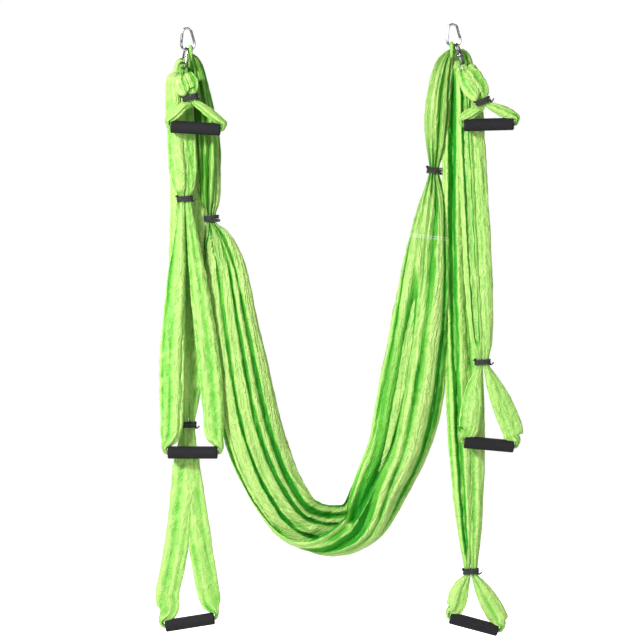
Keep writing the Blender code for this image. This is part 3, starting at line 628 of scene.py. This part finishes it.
def foam():
    """Charcoal closed-cell foam: a fine noise for pores and a broad one for wear, which is
    paler and duller."""
    shader = Shader("charcoal_foam", (0.022, 0.021, 0.024), 0.8, **{"Specular IOR Level": 0.2})
    place = shader.object_place()
    pores = shader.rough(place, 900.0, detail=3.0, roughness=0.6)
    worn = shader.rough(place, 60.0)
    colour = shader.mix(worn, *FOAM_COLOURS)
    shader.set(shader.principled, {"Base Color": colour, "Roughness": 0.68 + worn * 0.2,
                                   "Normal": shader.bump(pores, 0.0006, 0.8)})
    return shader.material


def elastic():
    """Black elastic cord: strands braided both ways round it, the product of two slanted
    sines, with painted highlights: pale flecks on the strands' raised tops where a noise is high."""
    shader = Shader("black_elastic", (0.02, 0.02, 0.022), 0.6)
    place = shader.cloth_place()
    across, along, _ = shader.parts(place)
    one_way = ((across + along * BRAID_SLOPE) * BRAID_TURNS).maths("SINE")
    other_way = ((across - along * BRAID_SLOPE) * BRAID_TURNS).maths("SINE")
    braid = (one_way * other_way * 0.5 + 0.5).clamped()
    glint_patch = shader.rough(place, 900.0)
    # Painted highlights: pale where the braid stands highest and a noise is high
    painted_light = (braid * glint_patch * 1.3).clamped() ** 2.0
    colour = shader.mix(painted_light, *ELASTIC_AND_GLINT_COLOURS)
    shader.set(shader.principled, {"Base Color": colour,
                                   "Normal": shader.bump(braid, 0.0003, 0.9)})
    return shader.material


def steel():
    """Bright zinc-plated wire: a cloudy noise for how dull it is, and a fine one for faint
    drawing marks."""
    shader = Shader("zinc_plate", (0.78, 0.79, 0.81), 0.22, 1.0)
    place = shader.object_place()
    cloud = shader.rough(place, 260.0, detail=3.0, roughness=0.55)
    marks = shader.rough(place, 1500.0)
    colour = shader.mix(cloud, *ZINC_COLOURS)
    shader.set(shader.principled, {"Base Color": colour, "Roughness": 0.14 + cloud * 0.18,
                                   "Normal": shader.bump(marks, 0.00008, 0.5)})
    return shader.material


CLOTH_NYLON = nylon("green_nylon", HAMMOCK_SEAMS, 0.26, 0.22)
SLING_NYLON = nylon("green_nylon_sling", SLING_SEAMS, 0.15, 0.18)
FOAM = foam()
ELASTIC = elastic()
STEEL = steel()


def frames(place, face, ring=False):
    """Across and face directions along a path: the face is made square to the path's tangent,
    and across is the tangent times the face."""
    if ring:
        tangent = unit(np.roll(place, -1, axis=0) - np.roll(place, 1, axis=0))
    else:
        tangent = unit(np.gradient(place, axis=0))
    face = unit(face - tangent * np.sum(face * tangent, axis=1, keepdims=True))
    return np.cross(tangent, face), face


def tube(name, place, face, radius, sides, material, crest=None):
    """A round cord along a path: each point is its row's place plus the radius times across by
    the cosine and face by the sine of a turn. Its ends are quarter circles. The radius is one
    number, or one for each row."""
    radius = np.broadcast_to(radius, len(place)).astype(float)
    rise = np.radians(DOME_RISES)[:, None]
    ends = []
    for end, before in ((0, 1), (-1, -2)):
        out = unit(place[end] - place[before])
        ends.append((place[end] + out * (radius[end] * np.sin(rise)),
                     radius[end] * np.cos(rise[:, 0])))
    place = np.vstack((ends[0][0][::-1], place, ends[1][0]))
    radius = np.concatenate((ends[0][1][::-1], radius, ends[1][1]))
    radius[0] = radius[-1] = 0.0
    turn = np.linspace(0, math.tau, sides, endpoint=False)
    across, face = frames(place, np.broadcast_to(face, place.shape))
    turn = turn[:, None]
    ring = across[:, None] * np.cos(turn) + face[:, None] * np.sin(turn)
    points = place[:, None] + ring * radius[:, None, None]
    far = np.concatenate(([0], np.cumsum(np.linalg.norm(np.diff(place, axis=0), axis=1))))
    uv = cloth_uv(turn[:, 0] * radius.max(), far)
    if crest is not None:
        crest = np.full(points.shape[:2], crest)
    return grid_mesh(name, points, material, uv, round_section=True, weld=True, crest=crest)


def turned(name, profile, centre, axis, side, steps, material, wobble, seed):
    """A closed profile turned about an axis: each point is the centre plus its radius along a
    direction that turns from side, and its height along the axis. Wobble is how uneven the
    radius is."""
    profile = np.array(profile, float)
    turn = np.linspace(0, math.tau, steps, endpoint=False)
    axis, side = unit(axis), unit(side)
    other = np.cross(axis, side)
    out = np.cos(turn)[:, None] * side + np.sin(turn)[:, None] * other
    uneven = noise(steps, len(profile), 7, max(3, len(profile) // 6), seed, ring=True).T
    radius = profile[:, :1] * (1 + wobble * uneven)
    points = centre + radius[..., None] * out[None] + profile[:, 1:, None] * axis
    return grid_mesh(name, points, material, ring=True, round_section=True, weld=True)


def creases(rows, way, count, seed, ring=False, wide=(0.2, 0.75), wander=0.5, whole=0.5):
    """Folds over a cloth: one on the panels, less in the straight-sided valleys between them.
    Each valley multiplies the height by one minus its depth times how near its middle is, in
    half widths. It has its own place, width and depth, wanders along the cloth and fades in
    and out. Whole is how deep the widest are: a narrow one is as steep, not as deep."""
    chance = np.random.default_rng(seed)
    crest = np.ones((rows, len(way)))
    for number in range(count):
        centre = (number + 0.5 + chance.uniform(-CREASE_STRAY, CREASE_STRAY)) / count
        width = (wide[0] + (wide[1] - wide[0]) * chance.random() ** 2) / count
        cells = chance.integers(*CREASE_CELLS)
        drift = noise(rows, 2, cells, 1, seed + 7 * number + 1, ring)[:, :1] * wander / count
        fade = noise(rows, 2, cells + 2, 1, seed + 7 * number + 2, ring)[:, :1]
        deep = np.clip(chance.uniform(0.5, 1.0) + CREASE_FADE * fade, CREASE_LEAST, 1.0)
        deep *= whole * (width * count / wide[1]) ** CREASE_STEEP
        apart = np.abs(way - centre - drift) / width
        crest *= 1 - deep * np.clip(1 - apart, 0, 1)
    return crest


def pleats(rows, columns, count, seed, ring=False):
    """Facets from about -1 to 1: crease lines wander along the cloth, each has a smooth random
    height, and between two lines the height goes straight from one to the other."""
    chance = np.random.default_rng(seed)
    stray = chance.uniform(-PLEAT_STRAY, PLEAT_STRAY, count + 1)
    lines = (np.arange(count + 1) + stray) / count
    drift = noise(rows, count + 1, max(5, rows // 90), count, seed + 1, ring)
    heights = noise(rows, count + 1, max(6, rows // 60), count, seed + 2, ring)
    at = np.maximum.accumulate(lines + drift * PLEAT_WANDER / count, axis=1)
    way = np.linspace(0, 1, columns)
    return np.array([np.interp(way, line, height) for line, height in zip(at, heights)])


def crumple(points, amount, row_cells, column_cells, seed, ring=False):
    """Move a grid along its normals: facets, and creased noise, which is one minus the size
    of a smooth noise, cubed, so that it has ridges, at three scales."""
    rows, columns = points.shape[:2]
    along = np.gradient(points, axis=0)
    over = np.gradient(points, axis=1)
    normal = unit(np.cross(over, along))
    height = FACET_SHARE * pleats(rows, columns, columns // 5, seed, ring)
    for octave, share in CRUMPLE_OCTAVES:
        field = noise(rows, columns, row_cells * octave, column_cells * octave,
                      seed + octave, ring)
        height += share * ((1 - np.abs(field)) ** 3 - CRUMPLE_MIDDLE)
    return points + normal * (np.asarray(amount) * height)[..., None]


def blurred(points, reach, ring):
    """A grid, each point the mean of those up to a reach of rows and columns away."""
    for axis, wrap in ((0, ring), (1, False)):
        padding = [(0, 0)] * 3
        padding[axis] = (reach, reach)
        wide = np.pad(points, padding, mode="wrap" if wrap else "edge")
        points = sum(np.take(wide, range(step, step + points.shape[axis]), axis)
                     for step in range(2 * reach + 1)) / (2 * reach + 1)
    return points


def proud(points, ring=False):
    """How far each point stands out of the mean of those round it, near and wide, times how
    little it slopes from them: 0 down in a fold or on its steep sides, 1 on a ridge or a flat
    panel."""
    normal = unit(np.cross(np.gradient(points, axis=1), np.gradient(points, axis=0)))
    stands = 0
    for reach, whole in PROUD_SCALES:
        stands = stands + np.sum((points - blurred(points, reach, ring)) * normal, axis=-1) / whole
    level = np.sum(normal * unit(blurred(normal, LEVEL_REACH, ring)), axis=-1)
    return np.clip(PROUD_FLAT + PROUD_SHARE * stands, 0, 1) * ramp(level, *LEVEL_RANGE)


def near(place, points, reach):
    """How close each row is to any of some points: e to the minus 1.5th power of the distance
    in reaches, so one there, fading out."""
    close = np.zeros(len(place))
    for point in points:
        close = np.maximum(close, np.exp(-(np.linalg.norm(place - point, axis=1) / reach) ** 1.5))
    return close[:, None]


def middle(node):
    """The middle of a node's box."""
    low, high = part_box(node)
    return (np.array(low) + np.array(high)) / 2


def folded(path, columns, edge, least, lining, gather, folds, seed, whole, ring=False,
           valley=0.0, valley_turns=VALLEY_TURNS):
    """Cloth folded to a flattened bundle along a path, in three parts. The first goes round
    an ellipse, from the front edge by the front, the outer side and the back to the inner
    side: over is the turn's cosine, and deep its sine times a reach that creases bring down
    from 1 towards least. The lining goes from there outward, as deep as its first number and
    its second times how deep a crease is, rounded off at the sides. The rest folds to and fro
    behind the lining, as a cosine. Whole is how deep the creases are, gather how strong the
    fine ones that radiate from the ties, and valley how deep one broad fold near the front
    edge, which is painted darker as well. Columns lie evenly across the first two parts and
    wider apart in the third. Returns the points and the painted shade of the folds: how light
    they leave each point."""
    rows = len(path)
    place, half_width, half_depth = path[:, :3], path[:, 3:4], path[:, 4:5]
    across, face = frames(place, path[:, 5:8], ring)
    outer = np.linspace(0, 1, FINE_COLUMNS)
    inner = np.linspace(0, 1, FINE_COLUMNS // 2)
    crest = creases(rows, outer, folds[0], seed, ring, whole=whole)
    fine = creases(rows, outer, 2 * folds[0], seed + 300, ring, **GATHER_CREASES)
    fine = 1 - (1 - fine) * gather
    stray = noise(rows, FINE_COLUMNS, max(4, rows // 60), 6, seed + 29, ring)
    turn = outer + FOLD_STRAY * stray
    turn = edge + (LAST_TURN - edge) * np.clip(turn, 0, 1)
    # The broad fold deepens the cloth and darkens its painted shade too
    crest *= 1 - valley * np.interp(turn, valley_turns, (0, 1, 0))
    angle = math.tau * turn
    reach = (1 - (1 - least) * (1 - crest)) * (GATHER_REACH[0] + GATHER_REACH[1] * fine)
    sway = noise(rows, FINE_COLUMNS, max(6, rows // 26), 8, seed + 30, ring)
    ripple = pleats(rows, FINE_COLUMNS, 2 * folds[0], seed + 31, ring)
    over = np.cos(angle) * (1 - FOLD_NARROW * (1 - crest) + SWAY * sway - GATHER_NARROW * (1 - fine))
    deep = -np.sin(angle) * (reach + RIPPLE * ripple)
    fold = creases(rows, inner, folds[1], seed + 600, ring, **LINING_CREASES)
    thin = creases(rows, inner, 3 * folds[1], seed + 900, ring, **GATHER_CREASES)
    thin = 1 - (1 - thin) * gather
    back, swing = lining
    start, length = LINING_OVER
    lining_over = start - length * inner + LINING_SWAY * sway[:, ::2]
    round_off = np.maximum(1 - lining_over ** 2, LINING_ROUND[0]) ** LINING_ROUND[1]
    lining_deep = back + swing * (1 - fold) + LINING_GATHER * (1 - thin) + LINING_RIPPLE * ripple[:, ::2]
    hidden_over = np.broadcast_to(HIDDEN_OVER * (2 * inner - 1), fold.shape)
    front = back + HIDDEN_FRONT[0] * swing + HIDDEN_FRONT[1]
    wave = np.cos(math.tau * folds[2] * inner)
    hidden_deep = (front + HIDDEN_BACK) / 2 - (HIDDEN_BACK - front) / 2 * wave
    hidden_deep = hidden_deep * np.sqrt(1 - hidden_over ** 2)
    over = np.hstack((over, lining_over, hidden_over)) * half_width
    deep = np.hstack((deep, lining_deep * round_off, hidden_deep)) * half_depth
    steps = np.hypot(np.diff(over, axis=1), np.diff(deep, axis=1))
    steps += EVEN_SHARE * steps.mean()
    steps[:, -len(inner):] *= HIDDEN_SHARE
    far = np.hstack((np.zeros((rows, 1)), np.cumsum(steps, axis=1)))
    share = far / far[:, -1:]
    at = np.linspace(0, 1, columns)
    # Painted shade of the folds: dark low in a crease, light on its crest
    lit = [ramp(height, dark, light - dark) for height, (dark, light) in
           ((crest, OUTER_DARK), (fold, LINING_DARK))]
    lit = FOLD_LIGHT + (1 - FOLD_LIGHT) * np.hstack(lit + [np.ones((rows, len(inner)))])
    over, deep, lit = (np.array([np.interp(at, line, value) for line, value in
                                 zip(share, values)]) for values in (over, deep, lit))
    points = (place[:, None, :] + across[:, None, :] * over[..., None]
              + face[:, None, :] * deep[..., None])
    return points, lit


def hammock_cloth():
    """The long cloth: an open trough at the seat whose front lip starts at the outer side of
    the left run, and a closed bundle above. Its crest value, painted shade in the folds and
    painted light on ridges and flat panels, is how proud a point is times how light its fold
    is, brought nearer to one above the ties, where it is painted lighter."""
    table = []
    for over, down, width, depth, edge, least, *lining in CLOTH_SHARES:
        place = LEFT_SEAT + (RIGHT_SEAT - LEFT_SEAT) * over - [0, 0, HAMMOCK_DROP * down]
        place[1] += SET_BACK * min(1, down / SET_BACK_DROP)
        dense = DENSE["thin"] if width < THIN else 1.0
        table.append([*place, BUNCH_WIDTH * width / 2, BUNCH_DEPTH * depth / 2, 0, 1, 0,
                      edge, least, *lining, dense])
    path, far = through(table, CLOTH_ROWS)
    ties = [middle("hammock_tie_left"), middle("hammock_tie_right")]
    gather = near(path[:, :3], ties + [LEFT_SEAT, RIGHT_SEAT], HAMMOCK_GATHER)
    lining = (path[:, 10:11], path[:, 11:12])
    beyond = (path[:, 0:1] - LEFT_SEAT[0]) / SEAT_SPAN
    valley = VALLEY_DEPTH * ramp(beyond, *VALLEY_IN)
    valley = valley * ramp(VALLEY_OUT[0] - beyond, 0, VALLEY_OUT[1])
    points, lit = folded(path, CLOTH_COLUMNS, path[:, 8:9], path[:, 9:10], lining, gather,
                         CLOTH_FOLDS, SEEDS["cloth"], HAMMOCK_FOLD_DEPTH, valley=valley)
    neck = np.where(beyond < 0.5, ties[0][2], ties[1][2])
    above = ramp(path[:, 2:3], neck, UPPER_FADE)
    amount = HAMMOCK_CRUMPLE[0] * np.minimum(1, path[:, 3:4] / HAMMOCK_CRUMPLE[1])
    amount = amount * (1 - TIE_SMOOTH[1] * near(path[:, :3], ties, TIE_SMOOTH[0]))
    points = crumple(points, amount, 26, 16, SEEDS["crumples"])
    uv = cloth_uv(np.linspace(0, CLOTH_FLAT[0], CLOTH_COLUMNS), far)
    # Painted shade in folds and painted light on ridges, lifted above the ties
    crest = 1 - (1 - proud(points) * lit) * (1 - UPPER_LIGHT * above)
    sheet = grid_mesh("hammock_sheet", points, CLOTH_NYLON, uv, crest=crest)
    dress(sheet, "hammock", "green_nylon", "hammock_cloth")
    loops = [end_loop("left", LEFT_SEAT, path[0, :3]), end_loop("right", RIGHT_SEAT, path[-1, :3])]


def end_loop(label, seat, foot):
    """The scrunched casing at an end of the cloth: a half circle over the main hook's wire,
    with a leg on each side down to the cloth, uneven by a smooth noise."""
    angles = np.radians(np.linspace(0, 180, 13))[:, None]
    over = seat - Y * (END_LOOP * np.cos(angles)) + Z * (END_LOOP * np.sin(angles))
    low = foot - Z * END_LEG
    path, _ = through([[*point, 1] for point in np.vstack(
        (low - Y * END_CORD, over, low + Y * END_CORD))], END_ROWS)
    radius = END_CORD * (1 + END_UNEVEN * noise(END_ROWS, 2, 30, 1, SEEDS["end"])[:, 0])
    loop = tube("hammock_end_" + label, path[:, :3], X, radius, 20, CLOTH_NYLON, crest=END_CREST)
    return dress(loop, "hammock", "green_nylon")


def sling_places(name):
    """Seat, shoulder, tie and grip of a sling, with the grip's and the neck's axes."""
    side, kind = name.split("_")
    seat = np.array(JOINTS[f"{kind}_sling_{side}_pull"]["pos_m"])
    turn = JOINTS[f"{kind}_grip_{side}_turn"]
    drop, shift, depth = SLINGS[name]["shoulder"]
    shoulder = np.array((seat[0] + shift, depth, seat[2] - drop))
    grip, axis = np.array(turn["pos_m"]), unit(turn["axis"])
    neck = unit((shoulder - grip) * (1, 0, 1))
    return seat, shoulder, middle(name + "_tie"), grip, axis, neck


def sling_row(place, half_width, half_depth, stretch, face=Y):
    """A row of a sling's path: place, half width, half depth, face and how dense."""
    return [*place, half_width, half_depth, *face, DENSE[stretch]]


def sling_side(name, way):
    """A sling's rows from the hook down one side into the grip's bore: an arc over the wire,
    straight down the band, whose sides stand apart by a share of its width, through the neck,
    down the leg with a bow as half a sine, and round a quarter circle into the bore."""
    kind = name.split("_")[1]
    looks = SLINGS[name]
    late = looks.get("late", 0.0)
    bow = looks.get("bow", (0, 0))
    depth = BUNDLE_HALF_DEPTHS[kind]
    seat, shoulder, tie, grip, axis, neck = sling_places(name)
    across, radius, cord = (Y, LONG_LOOP, LONG_CORD) if kind == "long" else (X, SLING_LOOP, SLING_CORD)
    wire_way = np.cross(Z, across)
    rows = []
    for angle in np.radians((60, 30, 0)):
        over = across * (way * radius * math.cos(angle)) + Z * (radius * math.sin(angle))
        rows.append(sling_row(seat + over, cord * LOOP_NARROW, cord, "hook", wire_way))
    lean = (shoulder - seat) * (THROAT / looks["shoulder"][0])
    lean *= (1, 1, 0) if kind == "long" else (THROAT_LEAN, THROAT_LEAN, 0)
    throat = seat + across * (way * radius * THROAT_SPREAD) - Z * THROAT + lean
    rows.append(sling_row(throat, cord * THROAT_SWELL[0], cord * THROAT_SWELL[1], "throat",
                          wire_way))
    end = tie + neck * (NECK_LENGTH / 2)
    side = np.cross(Y, unit(shoulder - end))
    for share, swell in BAND_SHARES[kind]:
        bend = max(0, share - late) / (1 - late)
        place = shoulder + (end - shoulder) * (bend, share, share)
        half = looks["band"] * swell
        place = place + side * (way * half * BAND_SPREAD) + Y * (BAND_STAGGER * way)
        rows.append(sling_row(place, half, depth, "hung"))
    neck_side = np.cross(Y, neck)
    for reach in (NECK_LENGTH / 2, -NECK_LENGTH / 2):
        place = tie + neck * reach + neck_side * (way * (NECK_HALF_WIDTH + LEG_GAP / 2))
        rows.append(sling_row(place, NECK_HALF_WIDTH, NECK_HALF_DEPTH, "neck"))
    up = np.cross(axis, Y)
    bend = GRIP_LENGTH / 2 + EXIT_REACH
    overhang = LEFT_LONG_OVERHANG if name == "left_long" else LEG_OVERHANG
    head = grip + axis * (way * (bend + EXIT_BEND)) + up * GRIP_RADIUS
    start = tie - neck * (NECK_LENGTH / 2) + neck_side * (way * NECK_HALF_WIDTH)
    for share, swell in LEG_SHARES.get(name, LEG_SHARES[kind]):
        place = start + (head - start) * share
        place = place + X * bow[way > 0] * math.sin(math.pi * share)
        half = looks["leg"] * swell
        out = way * float((place - grip) @ axis) + half - (bend + overhang[way > 0])
        place = place - axis * (way * max(0, out))
        rows.append(sling_row(place, half, depth, "hung"))
    rows.append(sling_row(head, EXIT_HALF_WIDTH * HEAD_SWELL, HEAD_HALF_DEPTH, "head"))
    for angle in np.radians((90, 45, 0)):
        place = (grip + axis * (way * (bend + EXIT_BEND * math.sin(angle)))
                 + up * (EXIT_BEND * (1 - math.cos(angle))))
        rows.append(sling_row(place, EXIT_HALF_WIDTH, ROPE_RADIUS, "exit"))
    inside = grip + axis * (way * GRIP_LENGTH / 3)
    rows.append(sling_row(inside, ROPE_RADIUS, ROPE_RADIUS, "bore"))
    return rows


def sling(name, seed):
    """One sling: an endless ring of gathered cloth over a hook, tied and through its grip,
    which is one side's rows down and the other's back up, folded and crumpled."""
    side, kind = name.split("_")
    seat, shoulder, tie, grip, axis, _ = sling_places(name)
    radius, cord, wire_way = ((LONG_LOOP, LONG_CORD, -X) if kind == "long"
                              else (SLING_LOOP, SLING_CORD, Y))
    apex = sling_row(seat + Z * radius, cord * LOOP_NARROW, cord, "hook", wire_way)
    rows = [apex] + sling_side(name, -1) + sling_side(name, 1)[::-1]
    path, far = through(rows, SLING_ROWS, ring=True)
    ends = [grip + axis * way * GRIP_LENGTH / 2 for way in (-1, 1)]
    gather = near(path[:, :3], [seat, tie] + ends, SLING_GATHER)
    hung = ramp(path[:, 2:3] - tie[2], NECK_LENGTH, SLING_VALLEY_FADE)
    hung *= ramp(shoulder[2] - path[:, 2:3], 0, SLING_VALLEY_FADE)
    hung[SLING_ROWS // 2:] = 0
    points, lit = folded(path, SLING_COLUMNS, SLING_EDGE, SLING_LEAST, SLING_LINING, gather,
                         SLING_FOLDS, seed, SLING_FOLD_DEPTH, True,
                         SLINGS[name].get("valley", 0.0) * hung, SLING_VALLEY_TURNS)
    amount = SLING_CRUMPLE[0] * np.minimum(1, path[:, 3:4] / SLING_CRUMPLE[1]) ** 1.5
    points = crumple(points, amount, SLING_ROWS // 12, 6, seed + 40, True)
    uv = cloth_uv(np.linspace(0, SLING_WIDTH, SLING_COLUMNS), far)
    # Painted shade in folds and painted light on ridges
    crest = proud(points, True) * (SLING_FOLD_LIGHT + (1 - SLING_FOLD_LIGHT) * lit)
    sheet = grid_mesh(name + "_cloth", points, SLING_NYLON, uv, ring=True, crest=crest)
    dress(sheet, f"{kind}_sling_{side}", "green_nylon", name + "_sling")


def tie(name, body, axis, half_gap, half_width, half_depth, seed):
    """Elastic cord wound round a neck, with two short loose ends. It is a flattened helix: an
    ellipse whose two halves are moved apart by the gap between two legs, rising evenly with
    the turn. A loose end goes on straight and bends away by its length squared."""
    centre = middle(name)
    axis = unit(axis)
    side = unit(np.cross(Y, axis))
    reach = half_width + TIE_CLEARANCE + TIE_CORD
    depth = half_depth + TIE_CLEARANCE + TIE_CORD
    count = int(TIE_TURNS * TIE_STEPS)
    step = np.arange(count)
    angle = math.tau * (step + 0.5) / TIE_STEPS + TIE_START
    height = TIE_PITCH * TIE_TURNS * (step / (count - 1) - 0.5)
    height = height + TIE_UNEVEN * noise(count, 2, int(TIE_TURNS * 2), 1, seed)[:, 0]
    swell = 1 + TIE_SWELL * noise(count, 2, 14, 1, seed + 1)[:, 0]
    over = np.tanh(TIE_SQUARE * np.cos(angle)) * half_gap + reach * np.cos(angle) * swell
    deep = depth * np.sin(angle) * swell
    place = centre + side * over[:, None] + Y * deep[:, None] + axis * height[:, None]
    tails = []
    for end, before, bend in ((0, 1, 1.0), (-1, -2, -0.6)):
        out = unit(place[end] - place[before])
        away = unit(place[end] - centre - axis * height[end])
        far = np.linspace(0.15, 1, 5)[:, None]
        tails.append(place[end] + (out + away * 0.5 * far + axis * bend * far ** 2 * 0.6)
                     * (far * TIE_TAIL))
    place = np.vstack((tails[0][::-1], place, tails[1]))
    cord = tube(name + "_cord", place, axis, TIE_CORD, TIE_SIDES, ELASTIC)
    dress(cord, body, "black_elastic", name)


def grip(name):
    """A foam tube on the sling's two legs: its profile has a quarter circle at each outer
    end, a smaller one at each end of the bore, and straight lines between."""
    side, kind = name.split("_")
    _, _, _, centre, axis, _ = sling_places(name)
    half = GRIP_LENGTH / 2
    profile = []
    for turn in np.radians(np.linspace(0, 90, 7)):
        profile.append((GRIP_RADIUS - GRIP_ROUND * (1 - math.sin(turn)),
                        half - GRIP_ROUND * (1 - math.cos(turn))))
    profile += [(GRIP_RADIUS, height) for height in np.linspace(half - 2 * GRIP_ROUND,
                                                                2 * GRIP_ROUND - half, 9)]
    profile += [(radius, -height) for radius, height in profile[6::-1]]
    for turn in np.radians(np.linspace(0, 90, 4)):
        profile.append((GRIP_BORE + GRIP_LIP * (1 - math.sin(turn)),
                        -half + GRIP_LIP * (1 - math.cos(turn))))
    profile += [(radius, -height) for radius, height in profile[:-5:-1]]
    made = turned(name + "_foam", profile, centre, axis, Y, GRIP_SIDES, FOAM,
                  GRIP_WOBBLE, len(name))
    dress(made, f"{kind}_grip_{side}", "black_foam", name + "_grip")


hammock_cloth()
for number, label in enumerate(SLINGS):
    sling(label, SEEDS["sling"] + SEED_STEP * number)
    side_label, kind_label = label.split("_")
    tie(label + "_tie", f"{kind_label}_sling_{side_label}", sling_places(label)[5],
        NECK_HALF_WIDTH, NECK_HALF_WIDTH, NECK_HALF_DEPTH, SEEDS["tie"] + number)
    grip(label)
for label, lean in HAMMOCK_TIE_AXES.items():
    tie("hammock_tie_" + label, "hammock", lean, 0.0, *HAMMOCK_NECK, SEEDS["hammock_tie"])


def camera():
    """A long lens square to the front."""
    data = bpy.data.cameras.new("camera")
    data.sensor_width = SENSOR
    data.lens = SENSOR * CAMERA_DISTANCE / (PICTURE * PIXEL)
    data.clip_end = 100.0
    made = linked("camera", data)
    half = PICTURE / 2
    made.location = ((half - ORIGIN_PIXEL[0]) * PIXEL, -CAMERA_DISTANCE,
                     (ORIGIN_PIXEL[1] - half) * PIXEL)
    made.rotation_euler = (math.radians(90), 0, 0)
    bpy.context.scene.camera = made


def lamp(name, place, size, power):
    """One soft square light that faces the object."""
    data = bpy.data.lights.new(name, "AREA")
    data.shape = "SQUARE"
    data.size = size
    data.energy = power
    made = linked(name, data)
    made.location = place
    aim = Vector(LAMPS_AIM) - Vector(place)
    made.rotation_euler = aim.to_track_quat("-Z", "Y").to_euler()


def studio():
    """White surround, soft lights and a pale floor."""
    scene = bpy.context.scene
    scene.view_settings.view_transform = "Standard"
    scene.view_settings.look = "None"
    world = bpy.data.worlds.new("surround")
    scene.world = world
    world.use_nodes = True
    tree = world.node_tree
    seen = tree.nodes.new("ShaderNodeLightPath")
    strength = tree.nodes.new("ShaderNodeMapRange")
    strength.inputs["To Min"].default_value = SURROUND
    strength.inputs["To Max"].default_value = 1.0
    tree.links.new(seen.outputs["Is Camera Ray"], strength.inputs["Value"])
    tree.links.new(strength.outputs[0], tree.nodes["Background"].inputs["Strength"])
    tree.nodes["Background"].inputs["Color"].default_value = (1, 1, 1, 1)
    for name, (place, size, power) in LAMPS.items():
        lamp(name, place, size, power)
    floor = bpy.data.meshes.new("floor")
    corners = [(over * FLOOR_REACH, deep * FLOOR_REACH, FLOOR_HEIGHT)
               for over, deep in ((-1, -1), (1, -1), (1, 1), (-1, 1))]
    floor.from_pydata(corners, [], [(0, 1, 2, 3)])
    shader = Shader("pale_floor", (0.9, 0.9, 0.9), 0.9, **{"Emission Color": (1, 1, 1, 1)})
    seen = shader.node("ShaderNodeLightPath", {}, {})[0]
    shader.set(shader.principled, {"Emission Strength": seen})
    floor.materials.append(shader.material)
    made = linked("floor", floor)


camera()
studio()
for node in frame["nodes"].values():
    for slot in node.material_slots:
        slot.material = STEEL
